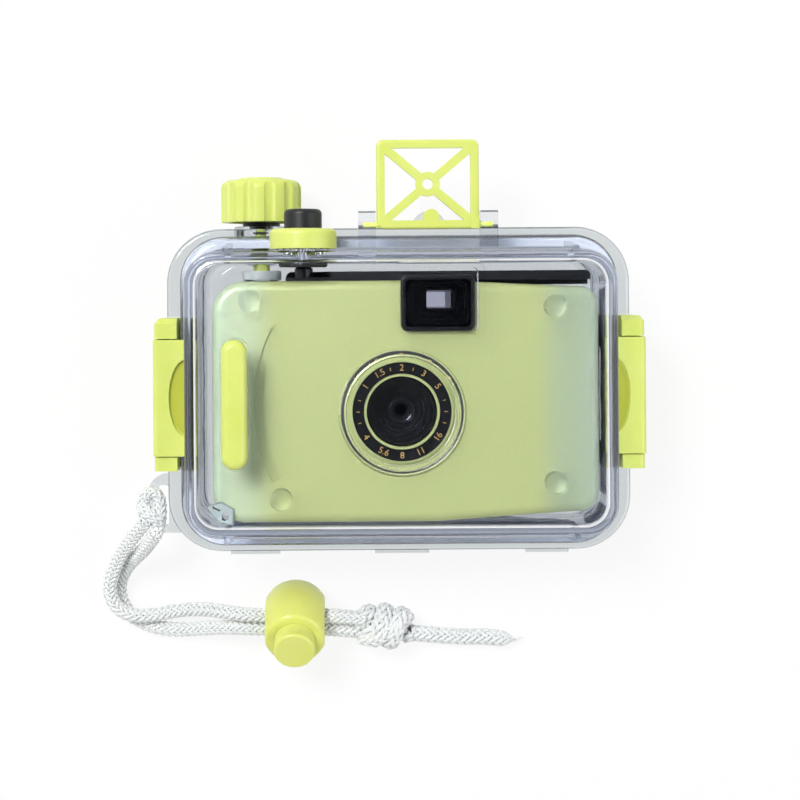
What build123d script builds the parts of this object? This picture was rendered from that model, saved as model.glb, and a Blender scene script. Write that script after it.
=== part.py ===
from build123d import *
import os
from math import asin, cos, degrees, pi, radians, sin, tan

# An underwater camera: a 35 mm film camera shut in a clear two-piece housing, with a wrist cord.
# Millimetres. The object lies on its back as it is stored: +Z points out of the lens, +Y to the
# side with the sight and the knobs, +X to the right of someone who looks at the lens. The origin
# is the middle of the flat back, on the surface that the object lies on.

# Waterproof housing: the tub's outside, and how far each ledge stands out from the one inside it
tub_width = 120.0
tub_height = 79.6
tub_corner = 9.5
lid_ledge_x = 2.8
lid_ledge_y = 4.6
lid_corner = 12.8
rim_ledge_x = 4.2
rim_ledge_y = 2.3
rim_corner = 15.7
back_inset_x = 1.5
back_inset_y = 0.3
back_corner = 9.0

# Waterproof housing, depths and walls
housing_depth = 50.0
seam_height = 22.0
lid_rim_height = 8.0
lid_rim_round = 2.8
rim_thickness = 5.0
skirt_height = 2.0
skirt_gap = 0.35
front_wall = 3.0
side_wall = 3.0
back_wall = 2.5
face_round = 4.0
back_round = 3.0
inner_round = 1.0
skirt_round = 1.2

# Seal between the two halves
seal_width = 2.0
seal_groove_gap = 0.2
seal_inset_x = 2.0
seal_inset_y = 2.3
seal_groove_depth = 2.6
tongue_width = 1.4
tongue_height = 0.9

# Marks and fittings moulded on the housing
foot_rise = 0.9
foot_spans = ((-49.0, -34.7), (-7.2, 8.6), (36.7, 49.0))
tab_radius = 5.0
tab_thickness = 2.2
tab_drop = 3.0
rest_pad_size = 7.0
rest_pad_x = 44.0
rest_pad_y = 16.0
gusset_inset = 11.8
gusset_reach = 2.6
gusset_top_reach = 0.9
gusset_lap = 2.6
gusset_rise = 18.6
gusset_width = 1.8
post_radius = 3.0
post_gap = 0.05
post_places = ((-41.7, 26.0), (-33.4, -29.0), (42.7, 24.1), (42.7, -24.8))

# Lens window and sight window of the lid
lens_x = 0.2
lens_y = -5.0
port_radius = 17.6
port_top_radius = 15.4
port_rise = 2.2
port_wall = 0.8
window_left = -1.9
window_right = 22.8
window_height = 21.0
window_top_inset = 3.2
window_corner = 2.6
window_wall = 1.7
window_rise = 1.6

# Finger rib and its yellow inlay
grip_inset = 14.35
grip_y = -2.15
grip_length = 35.5
grip_width = 7.1
grip_thickness = 2.6
grip_round = 2.2
grip_rib_margin = 0.45
grip_rib_height = 3.4
grip_key_width = 3.0
grip_key_length = 26.0
grip_key_depth = 1.2
grip_key_gap = 0.05

# Side latches, given for the right side
latch_pivot_out = 1.5
latch_pivot_drop = 7.25
latch_pin_radius = 0.8
latch_pin_gap = 0.05
latch_barrel_radius = 2.1
lever_length = 33.2
lever_mid_y = -1.7
lever_outside = 1.9
lever_web = 3.3
lever_nose_gap = 1.0
lever_step_gap = 0.5
lever_rise = 10.0
lever_round = 1.6
lever_nose_round = 0.6
lever_notch_length = 21.8
lever_notch_depth = 4.8
lever_notch_floor = 0.7
block_length_top = 5.8
block_length_bottom = 4.0
block_gap = 0.3
block_outside = 1.6
block_rise = 9.2
block_drop = 10.4
block_chamfer = 1.6
block_end_chamfer = 1.4
latch_pin_wall = 1.0
latch_seat_ledge = 0.6
latch_seat_gap = 0.1
latch_wall_inset = 0.7
latch_wall_rise = 1.4
latch_foot_drop = 3.6
latch_foot_gap = 0.2
catch_reach = 2.2
catch_lift = 2.6
catch_gap = 0.15
catch_height = 3.2
catch_length = 27.0

# Flip-up sight
sight_from_button = 20.7
sight_width = 29.1
sight_height = 25.3
sight_bar = 2.4
sight_thickness = 2.4
sight_corner = 2.0
sight_ring_radius = 3.45
sight_hole_radius = 1.5
sight_z = 33.4
sight_pivot_out = 0.5
sight_pin_radius = 1.2
sight_pin_gap = 0.05
sight_pin_length = 3.4
sight_bump_radius = 2.35
sight_bump_rise = 3.2
sight_bump_from_left = 15.5
sight_window_round = 0.7
sight_edge_round = 0.8
sight_collar_width = 2.4
sight_collar_rise = 0.7
sight_collar_depth = 1.7
ear_width = 4.9
ear_gap = 0.3
ear_depth = 5.6
ear_rise = 3.9
ear_round = 1.0

# Winding knob and its shaft
wind_from_camera_end = 12.6
wind_z = 13.0
knob_radius = 11.85
knob_height = 12.5
knob_clear = 2.2
knob_scallops = 12
knob_scallop_depth = 0.75
knob_scallop_radius = 2.6
knob_top_round = 2.6
knob_cap_radius = 6.6
knob_cap_rise = 0.6
knob_socket_depth = 9.0
knob_hollow_radius = 9.6
knob_hub_radius = 4.6
knob_roof = 2.4
shaft_radius = 2.5
shaft_flat = 1.9
shaft_gap = 0.05
wind_boss_radius = 8.0
wind_boss_gap = 1.3
wind_gland_radius = 3.6
wind_gland_depth = 2.2
ring_gap = 0.03
washer_gap = 0.1
wind_ring_radius = 5.5
clip_radius = 4.2
clip_thickness = 0.8
clip_groove = 0.6
clip_play = 0.1
clip_mouth_bite = 0.3
fork_radius = 5.8
fork_height = 2.6
fork_prong_width = 2.6
fork_prong_depth = 1.6
fork_prong_offset = 3.6
fork_prong_gap = 0.25
fork_side_gap = 0.15

# Shutter button of the housing
button_from_wind = 13.0
button_inset = 10.2
collar_radius = 9.4
collar_height = 5.6
collar_lift = 0.6
collar_round = 1.5
collar_hole_radius = 5.6
collar_boss_gap = 0.1
cap_radius = 5.3
cap_height = 7.4
cap_rise = 11.1
cap_round = 1.3
cap_bore_depth = 4.0
cap_spring_gap = 0.3
cap_roof = 1.6
plunger_radius = 1.8
plunger_gap = 0.05
boss_radius = 7.5
boss_rise = 2.2
boss_rib_count = 16
boss_rib_radius = 0.7
spring_radius = 3.2
spring_wire = 0.6
spring_turns = 3
spring_end_gap = 0.05
button_gland_radius = 2.7
button_gland_depth = 1.6
foot_radius = 6.8
foot_thickness = 1.3
foot_rest_gap = 0.25
foot_floor = 0.4
foot_chamfer = 0.4

# Film camera inside
camera_gap_left = 4.4
camera_gap_right = 1.8
camera_gap_bottom = 0.9
camera_gap_top = 5.4
camera_gap_front = 5.0
camera_back = 5.0
cover_depth = 9.0
cover_wall = 1.6
cover_corner = 9.0
cover_round = 2.6
cover_right_corner = 5.0
cover_taper_top = 2.2
cover_taper_bottom = 3.0
cover_taper_start = 10.0
body_inset = 1.8
body_sink = 2.6
door_thickness = 2.2
door_gap = 0.1
door_round = 1.2
door_skin = 0.8
wheel_slot_gap = 0.4
top_plate_from_wind = 8.0
top_plate_rise = 2.6
top_plate_thickness = 3.9
top_plate_sink = 3.4
top_plate_back = 7.4
top_plate_round = 1.5
shell_wall = 2.0
shutter_floor_gap = 2.4
shutter_room = 1.4
shutter_room_radius = 11.6
film_channel_depth = 2.4
film_channel_width = 35.6
bezel_margin = 0.1
groove_radius = 46.0
groove_width = 2.6
groove_depth = 0.6
groove_half_angle = 27.0
groove_from_left = 12.9
groove_mid_y = -3.0

# Lens, shutter and viewfinder of the film camera
lens_collar_radius = 14.3
lens_collar_rise = 1.6
lens_ring_outer = 13.7
lens_ring_inner = 10.55
lens_ring_thickness = 0.8
lens_ring_recess = 0.5
lens_ring_gap = 0.05
barrel_radius = 9.7
barrel_rise = 1.2
barrel_length = 13.8
barrel_gap = 0.1
barrel_lip = 1.2
barrel_edge_chamfer = 0.5
barrel_seat_lip = 0.6
barrel_steps = 4
barrel_mouth_radius = 8.8
barrel_throat_radius = 3.9
barrel_cone_depth = 6.5
glass_radius = 4.3
glass_front_thickness = 2.2
glass_rear_thickness = 1.8
glass_gap = 2.4
glass_edge = 1.0
glass_lip_gap = 0.12
stop_thickness = 0.4
stop_hole_radius = 1.3
blade_thickness = 0.3
blade_radius = 3.4
blade_pivot_offset = 6.4
blade_pin_radius = 0.6
blade_pin_gap = 0.05
blade_wall = 1.0
blade_arm = 2.4
blade_clearance = 0.5
gate_width = 36.0
gate_height = 24.0
gate_front_radius = 5.0
bezel_width = 20.6
bezel_height = 15.6
bezel_x = 10.45
bezel_below_window_top = 11.6
bezel_rise = 2.2
bezel_wall = 1.2
bezel_corner = 2.0
bezel_edge_round = 0.5
bezel_ledge = 1.0
bezel_neck_lift = 2.0
bezel_steps = 4
bezel_throat_width = 9.0
bezel_throat_height = 7.0
bezel_glass_radius = 9.2
bezel_glass_sag = 0.7
sight_tube_width = 7.8
sight_tube_height = 5.8
sight_tube_x = 11.4
sight_tube_lift = 1.1
eye_glass_thickness = 1.4
front_glass_thickness = 1.8

# Film transport of the camera
wheel_radius = 8.8
wheel_height = 4.6
wheel_teeth = 32
wheel_tooth_depth = 0.5
wheel_web = 1.4
wheel_sink = 1.4
hub_radius = 5.4
hub_height = 1.7
spool_radius = 4.0
spool_flange_radius = 6.9
spool_flange = 1.2
spool_slot = 1.6
spool_hub_radius = 2.2
spool_gap = 0.3
spool_length = 37.4
film_slot_height = 16.0
pivot_depth = 2.0
chamber_gap = 0.6
chamber_radius = 12.8
sprocket_from_wind = 11.4
sprocket_z = 14.0
sprocket_radius = 5.5
sprocket_body_radius = 3.4
sprocket_tooth_height = 1.0
sprocket_teeth = 6
sprocket_pitch_y = 28.1
sprocket_disc = 2.0
sprocket_pivot_radius = 2.0
sprocket_tooth_foot = 0.9
sprocket_tooth_slope = 14.0
sprocket_room = 3.0
cassette_from_right = 16.0
cassette_z = 20.0
cassette_length = 47.6
rewind_radius = 7.4
rewind_thickness = 1.8
rewind_sink = 2.0
rewind_groove_depth = 0.7
rewind_shaft_radius = 2.4
rewind_fork_length = 9.0
rewind_fork_slot = 1.2
rewind_crank_width = 3.4
counter_x = -10.0
counter_z = 24.0
counter_radius = 7.0
counter_thickness = 1.0
counter_sink = 1.5
counter_gap = 0.3
counter_pivot_radius = 1.0
counter_pivot_depth = 1.5
release_sink = 3.4
release_radius = 2.6
release_skirt = 0.8
release_dish_depth = 1.6
release_dish_radius = 7.6
release_chamfer = 0.5
release_skirt_height = 1.0
release_room = 1.8
running_gap = 0.05
pressure_width = 44.0
pressure_height = 30.0
pressure_thickness = 1.0
pressure_spring_rise = 1.1
pressure_spring_leaf = 0.3
pressure_spring_inset = 4.0
pressure_spring_width = 8.0

# The camera's own strap eye at its lower left corner, in front view, from that corner
eye_outline = ((-1.4, 4.7), (0.0, 2.3), (2.4, 0.0), (5.8, -0.4), (6.0, 4.0), (2.6, 6.0))
eye_sink = 2.6
eye_rise = 0.9
eye_edge = 0.35
eye_gap = 0.1
eye_hole = (3.7, 2.3)
eye_hole_length = 3.0
eye_hole_width = 1.9
eye_hole_turn = 70.0
eye_slot = (1.2, 4.3)
eye_slot_length = 2.4
eye_slot_width = 0.9

# Strap lug, cord, knot and cord lock
lug_reach = 6.0
lug_top_y = -24.6
lug_bottom_y = -41.6
lug_thickness = 3.2
lug_corner = 5.0
lug_bar = 2.7
lug_slot_top_y = -27.7
lug_slot_bottom_y = -39.6
lug_slot_width = 3.2
lug_slot_round = 1.0
lug_inset = 0.5
cord_diameter = 4.5
hitch_wire = 2.2
hitch_size = (9.6, 15.0, 6.4)
hitch_band = 2.4
hitch_round = 3.0
hitch_rest_gap = 0.15
hitch_shift = 0.2
hitch_y = -35.5
hitch_ring_spread = 2.2
knot_size = (18.6, 14.8, 12.4)
knot_round = 5.2
knot_from_lug = 68.8
knot_y = -72.4
table_gap = 0.05
tail_diameter = 5.2
lock_from_lug = 42.2
lock_y = -69.6
lock_tilt = 27.0
lock_radius = 10.6
lock_end_radius = 8.4
lock_below = 9.6
lock_above = 8.6
lock_end_round = 1.4
lock_flats = 17.5
lock_button_radius = 6.05
lock_button_gap = 0.05
lock_button_above = 5.2
lock_button_round = 0.8
lock_button_travel = 2.6
lock_button_below = 4.4
lock_floor = 1.6
lock_slot_gap = 0.15
lock_spring_radius = 3.6
lock_spring_wire = 0.7

# The cord's two strands lie side by side. Each point is a bend of the strand's middle line, from
# the hitch on the lug down to the table, round, through the lock and into the knot. The first
# number is measured from the lug's outer face.
strand_pair_pitch = 4.7
strand_a_route = [
    (-0.6, -37.8, 24.2),
    (-4.6, -42.6, 19.8),
    (-8.6, -47.8, 14.0),
    (-11.9, -53.7, 9.6),
    (-14.0, -60.2, 7.2),
    (-11.9, -65.9, 6.9),
    (-6.8, -68.6, 6.8),
    (0.0, -68.6, 4.8),
    (8.0, -67.4, 2.5),
    (15.6, -66.8, 5.4),
    (22.6, -67.0, 10.2),
    (30.0, -67.5, 13.0),
    (54.1, -67.5, 13.0),
    (62.4, -69.4, 9.0),
]
strand_b_route = [
    (2.4, -41.4, 24.4),
    (-1.2, -46.4, 18.2),
    (-5.7, -50.6, 10.0),
    (-9.6, -55.4, 4.6),
    (-11.7, -61.2, 2.3),
    (-9.8, -67.4, 2.3),
    (-4.4, -71.6, 2.3),
    (3.4, -73.7, 2.3),
    (11.6, -73.4, 2.7),
    (20.2, -72.2, 6.2),
    (30.0, -71.7, 10.85),
    (54.1, -71.7, 10.85),
    (61.4, -73.6, 6.6),
]
tail_route = [
    (76.2, -74.4, 4.9),
    (83.6, -75.6, 2.8),
    (91.8, -76.3, 2.65),
    (100.2, -76.2, 2.65),
    (108.4, -77.3, 2.65),
]

# Outlines and depths of the housing that follow from the sizes above
lid_width = tub_width + 2 * lid_ledge_x
lid_height = tub_height + 2 * lid_ledge_y
rim_width = lid_width + 2 * rim_ledge_x
rim_height = lid_height + 2 * rim_ledge_y
rim_bottom = seam_height - rim_thickness
back_width = tub_width - 2 * back_inset_x
back_height = tub_height - 2 * back_inset_y
inner_width = tub_width - 2 * side_wall
inner_height = tub_height - 2 * side_wall
inner_corner = tub_corner - side_wall
back_inner_width = back_width - 2 * back_wall
back_inner_height = back_height - 2 * back_wall
back_inner_corner = back_corner - back_wall
tub_top = tub_height / 2
groove_width_across = seal_width + 2 * seal_groove_gap
seal_mid_width = lid_width - 2 * seal_inset_x
seal_mid_height = lid_height - 2 * seal_inset_y
seal_corner = lid_corner - seal_inset_x
gusset_x = tub_width / 2 - gusset_inset
window_top = tub_top - window_top_inset
window_bottom = window_top - window_height
grip_x = grip_inset - tub_width / 2
lug_outer_x = -rim_width / 2 - lug_reach

# Places of the latches
latch_pivot_x = rim_width / 2 + latch_pivot_out
latch_pivot_z = seam_height - latch_pivot_drop
lever_outer_x = latch_pivot_x + lever_outside
lever_nose_x = tub_width / 2 + lever_nose_gap
lever_top = seam_height + lever_rise
lever_y0 = lever_mid_y - lever_length / 2
lever_y1 = lever_mid_y + lever_length / 2
block_outer_x = latch_pivot_x + block_outside
block_top = seam_height + block_rise
block_bottom = seam_height - block_drop
latch_seat_x = lid_width / 2 + latch_seat_ledge
latch_wall_outer_x = rim_width / 2 - latch_wall_inset
latch_wall_top = seam_height + latch_wall_rise
catch_outer_x = lid_width / 2 + catch_reach
catch_bottom = seam_height + catch_lift
catch_top = catch_bottom + catch_height
lever_nose_bottom = catch_top + catch_gap
lever_flap_bottom = seam_height + lid_rim_height + catch_gap
lever_step_x = lid_width / 2 + lever_step_gap

# Places of the camera and its parts inside the housing
camera_left = camera_gap_left - inner_width / 2
camera_right = inner_width / 2 - camera_gap_right
camera_bottom = camera_gap_bottom - inner_height / 2
camera_top_edge = inner_height / 2 - camera_gap_top
camera_front = housing_depth - front_wall - camera_gap_front
body_back = camera_back + door_thickness
body_front = camera_front - body_sink
top_plate_front = camera_front - top_plate_sink
top_plate_top = camera_top_edge + top_plate_rise
top_plate_bottom = top_plate_top - top_plate_thickness
wind_x = camera_left + wind_from_camera_end
cassette_x = camera_right - cassette_from_right
sprocket_x = wind_x + sprocket_from_wind
top_plate_left = wind_x + top_plate_from_wind
release_z = top_plate_front - release_sink
lens_seat = camera_front + lens_collar_rise
lens_back = camera_front + barrel_rise - barrel_length
shutter_floor = lens_back - shutter_floor_gap
bezel_neck_z = shutter_floor + bezel_neck_lift
bezel_y = window_top - bezel_below_window_top
sight_tube_y = bezel_y + sight_tube_lift
wheel_top = camera_top_edge - wheel_sink
wheel_bottom = wheel_top - wheel_height
fork_top = wheel_top + hub_height + fork_height + fork_prong_gap
spool_top = lens_y + spool_length / 2
spool_bottom = lens_y - spool_length / 2
sprocket_low = lens_y - sprocket_pitch_y / 2 - sprocket_room
sprocket_high = lens_y + sprocket_pitch_y / 2 + sprocket_room
counter_seat = top_plate_top - counter_sink
rewind_seat = top_plate_top - rewind_sink

# Places of the knob, the button, the sight and the cord's fittings
knob_bottom = rim_height / 2 + knob_clear
wind_boss_top = knob_bottom - wind_boss_gap
button_x = wind_x + button_from_wind
button_z = housing_depth - button_inset
collar_bottom = tub_top + collar_lift
boss_top = collar_bottom + boss_rise
cap_top = collar_bottom + cap_rise
foot_top = inner_height / 2 - foot_rest_gap
foot_bottom = foot_top - foot_thickness
release_top = foot_bottom
sight_left = button_x + sight_from_button
sight_pivot_y = rim_height / 2 + sight_pivot_out
sight_bump_x = sight_left + sight_bump_from_left
tab_x = sight_bump_x
tab_bottom = seam_height - tab_drop
lock_x = lug_outer_x + lock_from_lug
knot_x = lug_outer_x + knot_from_lug


def slab(width, height, corner, bottom, top, x=0.0, y=0.0):
    """A plate with round corners, from one height to another."""
    outline = Pos(x, y, bottom) * RectangleRounded(width, height, corner)
    return extrude(outline, top - bottom)


def upright(radius, y0, y1, x, z):
    """A round bar along Y between two places."""
    return Pos(x, (y0 + y1) / 2, z) * Rot(90, 0, 0) * Cylinder(radius, y1 - y0)


def disc(radius, z0, z1, x, y):
    """A round bar along Z between two heights."""
    return Pos(x, y, (z0 + z1) / 2) * Cylinder(radius, z1 - z0)


def block(x0, x1, y0, y1, z0, z1):
    """A plain block given by its six sides."""
    middle = Pos((x0 + x1) / 2, (y0 + y1) / 2, (z0 + z1) / 2)
    return middle * Box(x1 - x0, y1 - y0, z1 - z0)


def ring_wall(width, height, corner, thickness, bottom, top):
    """A wall that runs round a rounded rectangle, centred on that line."""
    outside = slab(width + thickness, height + thickness, corner + thickness / 2, bottom, top)
    inside = slab(width - thickness, height - thickness, corner - thickness / 2, bottom, top)
    return outside - inside


def mirrored(part):
    """The same piece for the other side of the housing."""
    return mirror(part, about=Plane.YZ)


# Waterproof housing

def front_shell():
    """Clear front half: rim, tub, windows, sight ears and latch catches in one moulding."""
    lid_top = seam_height + lid_rim_height
    rim = slab(lid_width, lid_height, lid_corner, seam_height, lid_top)
    rim = fillet(rim.faces().sort_by(Axis.Z)[-1].edges(), lid_rim_round)
    tub = slab(tub_width, tub_height, tub_corner, seam_height, housing_depth)
    tub = fillet(tub.faces().sort_by(Axis.Z)[-1].edges(), face_round)
    tongue = ring_wall(seal_mid_width, seal_mid_height, seal_corner, tongue_width,
                       seam_height - tongue_height, seam_height)
    shell = rim + tub + rim_gussets() + tongue + lens_port() + sight_window() + finger_rib()
    shell += button_boss() + sight_ears() + latch_catches()
    hollow = slab(inner_width, inner_height, inner_corner, seam_height, housing_depth - front_wall)
    hollow = fillet(hollow.faces().sort_by(Axis.Z)[-1].edges(), inner_round)
    port_top = housing_depth + port_rise
    port_recess = disc(port_top_radius - port_wall, housing_depth - front_wall,
                       port_top - front_wall, lens_x, lens_y)
    window_depth = housing_depth + window_rise - window_wall
    window_recess = slab(window_right - window_left - 2 * window_wall,
                         window_top - window_bottom - 2 * window_wall,
                         window_corner - 1, housing_depth - front_wall, window_depth,
                         (window_left + window_right) / 2, (window_top + window_bottom) / 2)
    shell = shell - hollow - port_recess - window_recess + camera_posts()
    bore = upright(plunger_radius + plunger_gap, 0, boss_top, button_x, button_z)
    gland = upright(button_gland_radius, boss_top - button_gland_depth, boss_top,
                    button_x, button_z)
    return shell - bore - gland


def lens_port():
    """Raised round window in front of the lens, with a sloping edge."""
    cone = Cone(port_radius, port_top_radius, port_rise)
    return Pos(lens_x, lens_y, housing_depth + port_rise / 2) * cone


def sight_window():
    """Raised box in front of the camera's own viewfinder, merged with the tub's upper edge."""
    return slab(window_right - window_left, window_top - window_bottom, window_corner,
                housing_depth - front_wall, housing_depth + window_rise,
                (window_left + window_right) / 2, (window_top + window_bottom) / 2)


def finger_rib():
    """Rib that carries the grip inlay, with a keyway for it."""
    base = SlotOverall(grip_length + 2 * grip_rib_margin, grip_width + 2 * grip_rib_margin,
                       rotation=90)
    rib = extrude(Pos(grip_x, grip_y, housing_depth) * base, grip_rib_height)
    key = SlotOverall(grip_key_length + 2 * grip_key_gap, grip_key_width + 2 * grip_key_gap,
                      rotation=90)
    top = housing_depth + grip_rib_height
    return rib - extrude(Pos(grip_x, grip_y, top - grip_key_depth) * key, grip_key_depth)


def grip_bar():
    """Yellow crowned bar that snaps into the finger rib."""
    base = SlotOverall(grip_length, grip_width, rotation=90)
    bottom = housing_depth + grip_rib_height
    bar = extrude(Pos(grip_x, grip_y, bottom) * base, grip_thickness)
    bar = fillet(bar.faces().sort_by(Axis.Z)[-1].edges(), grip_round)
    key = SlotOverall(grip_key_length, grip_key_width, rotation=90)
    return bar + extrude(Pos(grip_x, grip_y, bottom - grip_key_depth) * key, grip_key_depth)


def button_boss():
    """Boss under the shutter collar, with fine grip ribs round its foot."""
    boss = upright(boss_radius, tub_top - 1, boss_top, button_x, button_z)
    for number in range(boss_rib_count):
        angle = 2 * pi * number / boss_rib_count
        boss += upright(boss_rib_radius, tub_top - 1, collar_bottom,
                        button_x + boss_radius * cos(angle), button_z + boss_radius * sin(angle))
    return boss


def sight_ears():
    """Two clear ears on the tub's upper wall that carry the flip-up sight."""
    ears = []
    for x0 in (sight_left - ear_gap - ear_width, sight_left + sight_width + ear_gap):
        ear = block(x0, x0 + ear_width, tub_top - 1, sight_pivot_y + ear_rise,
                    sight_z - ear_depth / 2, sight_z + ear_depth / 2)
        ear = fillet(ear.faces().sort_by(Axis.Y)[-1].edges().filter_by(Axis.X), ear_round)
        hole = Pos(x0 + ear_width / 2, sight_pivot_y, sight_z) * Rot(0, 90, 0) * Cylinder(
            sight_pin_radius + sight_pin_gap, ear_width)
        ears.append(ear - hole)
    return ears[0] + ears[1]


def latch_catches():
    """Ledge on each side of the lid that the latch's nose holds down."""
    right = block(lid_width / 2 - lid_rim_round, catch_outer_x,
                  lever_mid_y - catch_length / 2, lever_mid_y + catch_length / 2,
                  catch_bottom, catch_top)
    return right + mirrored(right)


def rim_gussets():
    """Four tapering gussets on the tub's long walls, down to the lid's rim."""
    lid_top = seam_height + lid_rim_height
    profile = make_face(Polyline(
        (-gusset_lap, -1), (gusset_reach, -1), (gusset_reach, 0),
        (gusset_top_reach, gusset_rise), (-gusset_lap, gusset_rise), close=True))
    plate = extrude(Plane.YZ * profile, gusset_width / 2, both=True)
    gussets = Part()
    for x in (-gusset_x, gusset_x):
        upper = Pos(x, tub_top, lid_top) * plate
        gussets += upper + mirror(upper, about=Plane.XZ)
    return gussets


def camera_posts():
    """Round posts inside the lid that keep the camera against the back."""
    posts = Part()
    for x, y in post_places:
        posts += disc(post_radius, camera_front + post_gap, housing_depth - front_wall + 1, x, y)
    return posts


def rear_shell():
    """Clear rear half: flat back, rim with the seal groove and skirt, lug and knob boss."""
    skirt_top = seam_height + skirt_height
    rim = slab(rim_width, rim_height, rim_corner, rim_bottom, skirt_top)
    rim = fillet(rim.faces().sort_by(Axis.Z)[-1].edges(), skirt_round)
    for x0, x1 in foot_spans:
        rim += block(x0, x1, -rim_height / 2 - foot_rise, -rim_height / 2 + 1,
                     rim_bottom, skirt_top - skirt_round)
    rim -= slab(lid_width + 2 * skirt_gap, lid_height + 2 * skirt_gap, lid_corner + skirt_gap,
                seam_height, skirt_top + 1)
    tub = slab(back_width, back_height, back_corner, 0, rim_bottom + 1)
    tub = fillet(tub.faces().sort_by(Axis.Z)[0].edges(), back_round)
    boss = upright(wind_boss_radius, back_height / 2 - 1, wind_boss_top, wind_x, wind_z)
    tab = disc(tab_radius, tab_bottom, tab_bottom + tab_thickness, tab_x, rim_height / 2)
    shell = rim + tub + boss + tab + strap_lug()
    shell -= slab(back_inner_width, back_inner_height, back_inner_corner,
                  back_wall, seam_height + 1)
    groove_bottom = seam_height - seal_groove_depth
    shell -= ring_wall(seal_mid_width, seal_mid_height, seal_corner, groove_width_across,
                       groove_bottom, seam_height + 1)
    for side in (1, -1):
        x0, x1 = sorted((side * latch_seat_x, side * (rim_width / 2 + 1)))
        shell -= block(x0, x1, lever_y0 - block_gap - block_length_bottom - block_gap,
                       lever_y1 + block_gap + block_length_top + block_gap,
                       rim_bottom - 1, skirt_top + 1)
    for x in (-rest_pad_x, rest_pad_x):
        for y in (-rest_pad_y, rest_pad_y):
            shell += slab(rest_pad_size, rest_pad_size, 1, back_wall - 0.5, camera_back, x, y)
    shell -= upright(shaft_radius + shaft_gap, 0, wind_boss_top, wind_x, wind_z)
    return shell - upright(wind_gland_radius, wind_boss_top - wind_gland_depth, wind_boss_top,
                           wind_x, wind_z)


def strap_lug():
    """Flat loop beside the rim for the wrist cord."""
    lug_bottom = rim_bottom + lug_inset
    lug = block(lug_outer_x, -rim_width / 2 + rim_corner / 2, lug_bottom_y, lug_top_y,
                lug_bottom, lug_bottom + lug_thickness)
    corners = lug.edges().filter_by(Axis.Z).sort_by(Axis.X)[:2]
    lug = fillet(corners, lug_corner)
    slot_left = lug_outer_x + lug_bar
    slot = block(slot_left, slot_left + lug_slot_width, lug_slot_bottom_y, lug_slot_top_y,
                 lug_bottom, lug_bottom + lug_thickness)
    return lug - fillet(slot.edges().filter_by(Axis.Z), lug_slot_round)


def seal_ring():
    """Soft ring pressed between the groove's floor and the lid's tongue."""
    return ring_wall(seal_mid_width, seal_mid_height, seal_corner, seal_width,
                     seam_height - seal_groove_depth, seam_height - tongue_height)


# Side latches

def latch_lever():
    """Right lever: barrel on the pin, web outside the rim, and a nose with a finger recess."""
    outline = Polyline(
        (lever_outer_x, latch_pivot_z), (lever_outer_x, lever_top), (lever_nose_x, lever_top),
        (lever_nose_x, lever_flap_bottom), (lever_step_x, lever_flap_bottom),
        (lever_step_x, lever_nose_bottom), (lever_outer_x - lever_web, lever_nose_bottom),
        (lever_outer_x - lever_web, latch_pivot_z), close=True)
    profile = Plane.XZ * make_face(outline)
    lever = Pos(0, lever_y1, 0) * extrude(profile, lever_length)
    lever += upright(latch_barrel_radius, lever_y0, lever_y1, latch_pivot_x, latch_pivot_z)
    long_edges = lever.edges().filter_by(Axis.Y)
    outer_edge = long_edges.group_by(Axis.Z)[-1].sort_by(Axis.X)[-1]
    lever = fillet(outer_edge, lever_round)
    nose_edge = lever.edges().filter_by(Axis.Y).group_by(Axis.Z)[-1].sort_by(Axis.X)[0]
    lever = fillet(nose_edge, lever_nose_round)
    notch = extrude(Ellipse(lever_notch_depth, lever_notch_length / 2), lever_top)
    lever -= Pos(lever_nose_x, lever_mid_y, lever_flap_bottom + lever_notch_floor) * notch
    bore = upright(latch_pin_radius + latch_pin_gap, lever_y0, lever_y1,
                   latch_pivot_x, latch_pivot_z)
    return lever - bore


def latch_base():
    """Right base: a clip behind and beside the rim with an end block at each side."""
    clip_x0 = back_width / 2 + latch_foot_gap
    y0 = lever_y0 - block_gap - block_length_bottom
    y1 = lever_y1 + block_gap + block_length_top
    seat_x = latch_seat_x + latch_seat_gap
    base = block(clip_x0, latch_wall_outer_x, y0, y1, rim_bottom - latch_foot_drop, rim_bottom)
    base += block(seat_x, latch_wall_outer_x, y0, y1, rim_bottom - latch_foot_drop,
                  latch_wall_top)
    for block_y0, block_y1 in ((y0, lever_y0 - block_gap), (lever_y1 + block_gap, y1)):
        end = block(seat_x, block_outer_x, block_y0, block_y1, block_bottom, block_top)
        outer = end.edges().filter_by(Axis.Y).sort_by(Axis.X)[-2:]
        base += fillet(outer, block_chamfer)
    outer_end = base.faces().sort_by(Axis.Y)[-1]
    base = chamfer(outer_end.edges().filter_by(Axis.X), block_end_chamfer)
    pin_hole = upright(latch_pin_radius, y0 + latch_pin_wall, y1 - latch_pin_wall,
                       latch_pivot_x, latch_pivot_z)
    return base - pin_hole


def latch_pin():
    """Right steel pin, pressed into both end blocks."""
    y0 = lever_y0 - block_gap - block_length_bottom + latch_pin_wall
    y1 = lever_y1 + block_gap + block_length_top - latch_pin_wall
    return upright(latch_pin_radius, y0, y1, latch_pivot_x, latch_pivot_z)


# Flip-up sight

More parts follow.
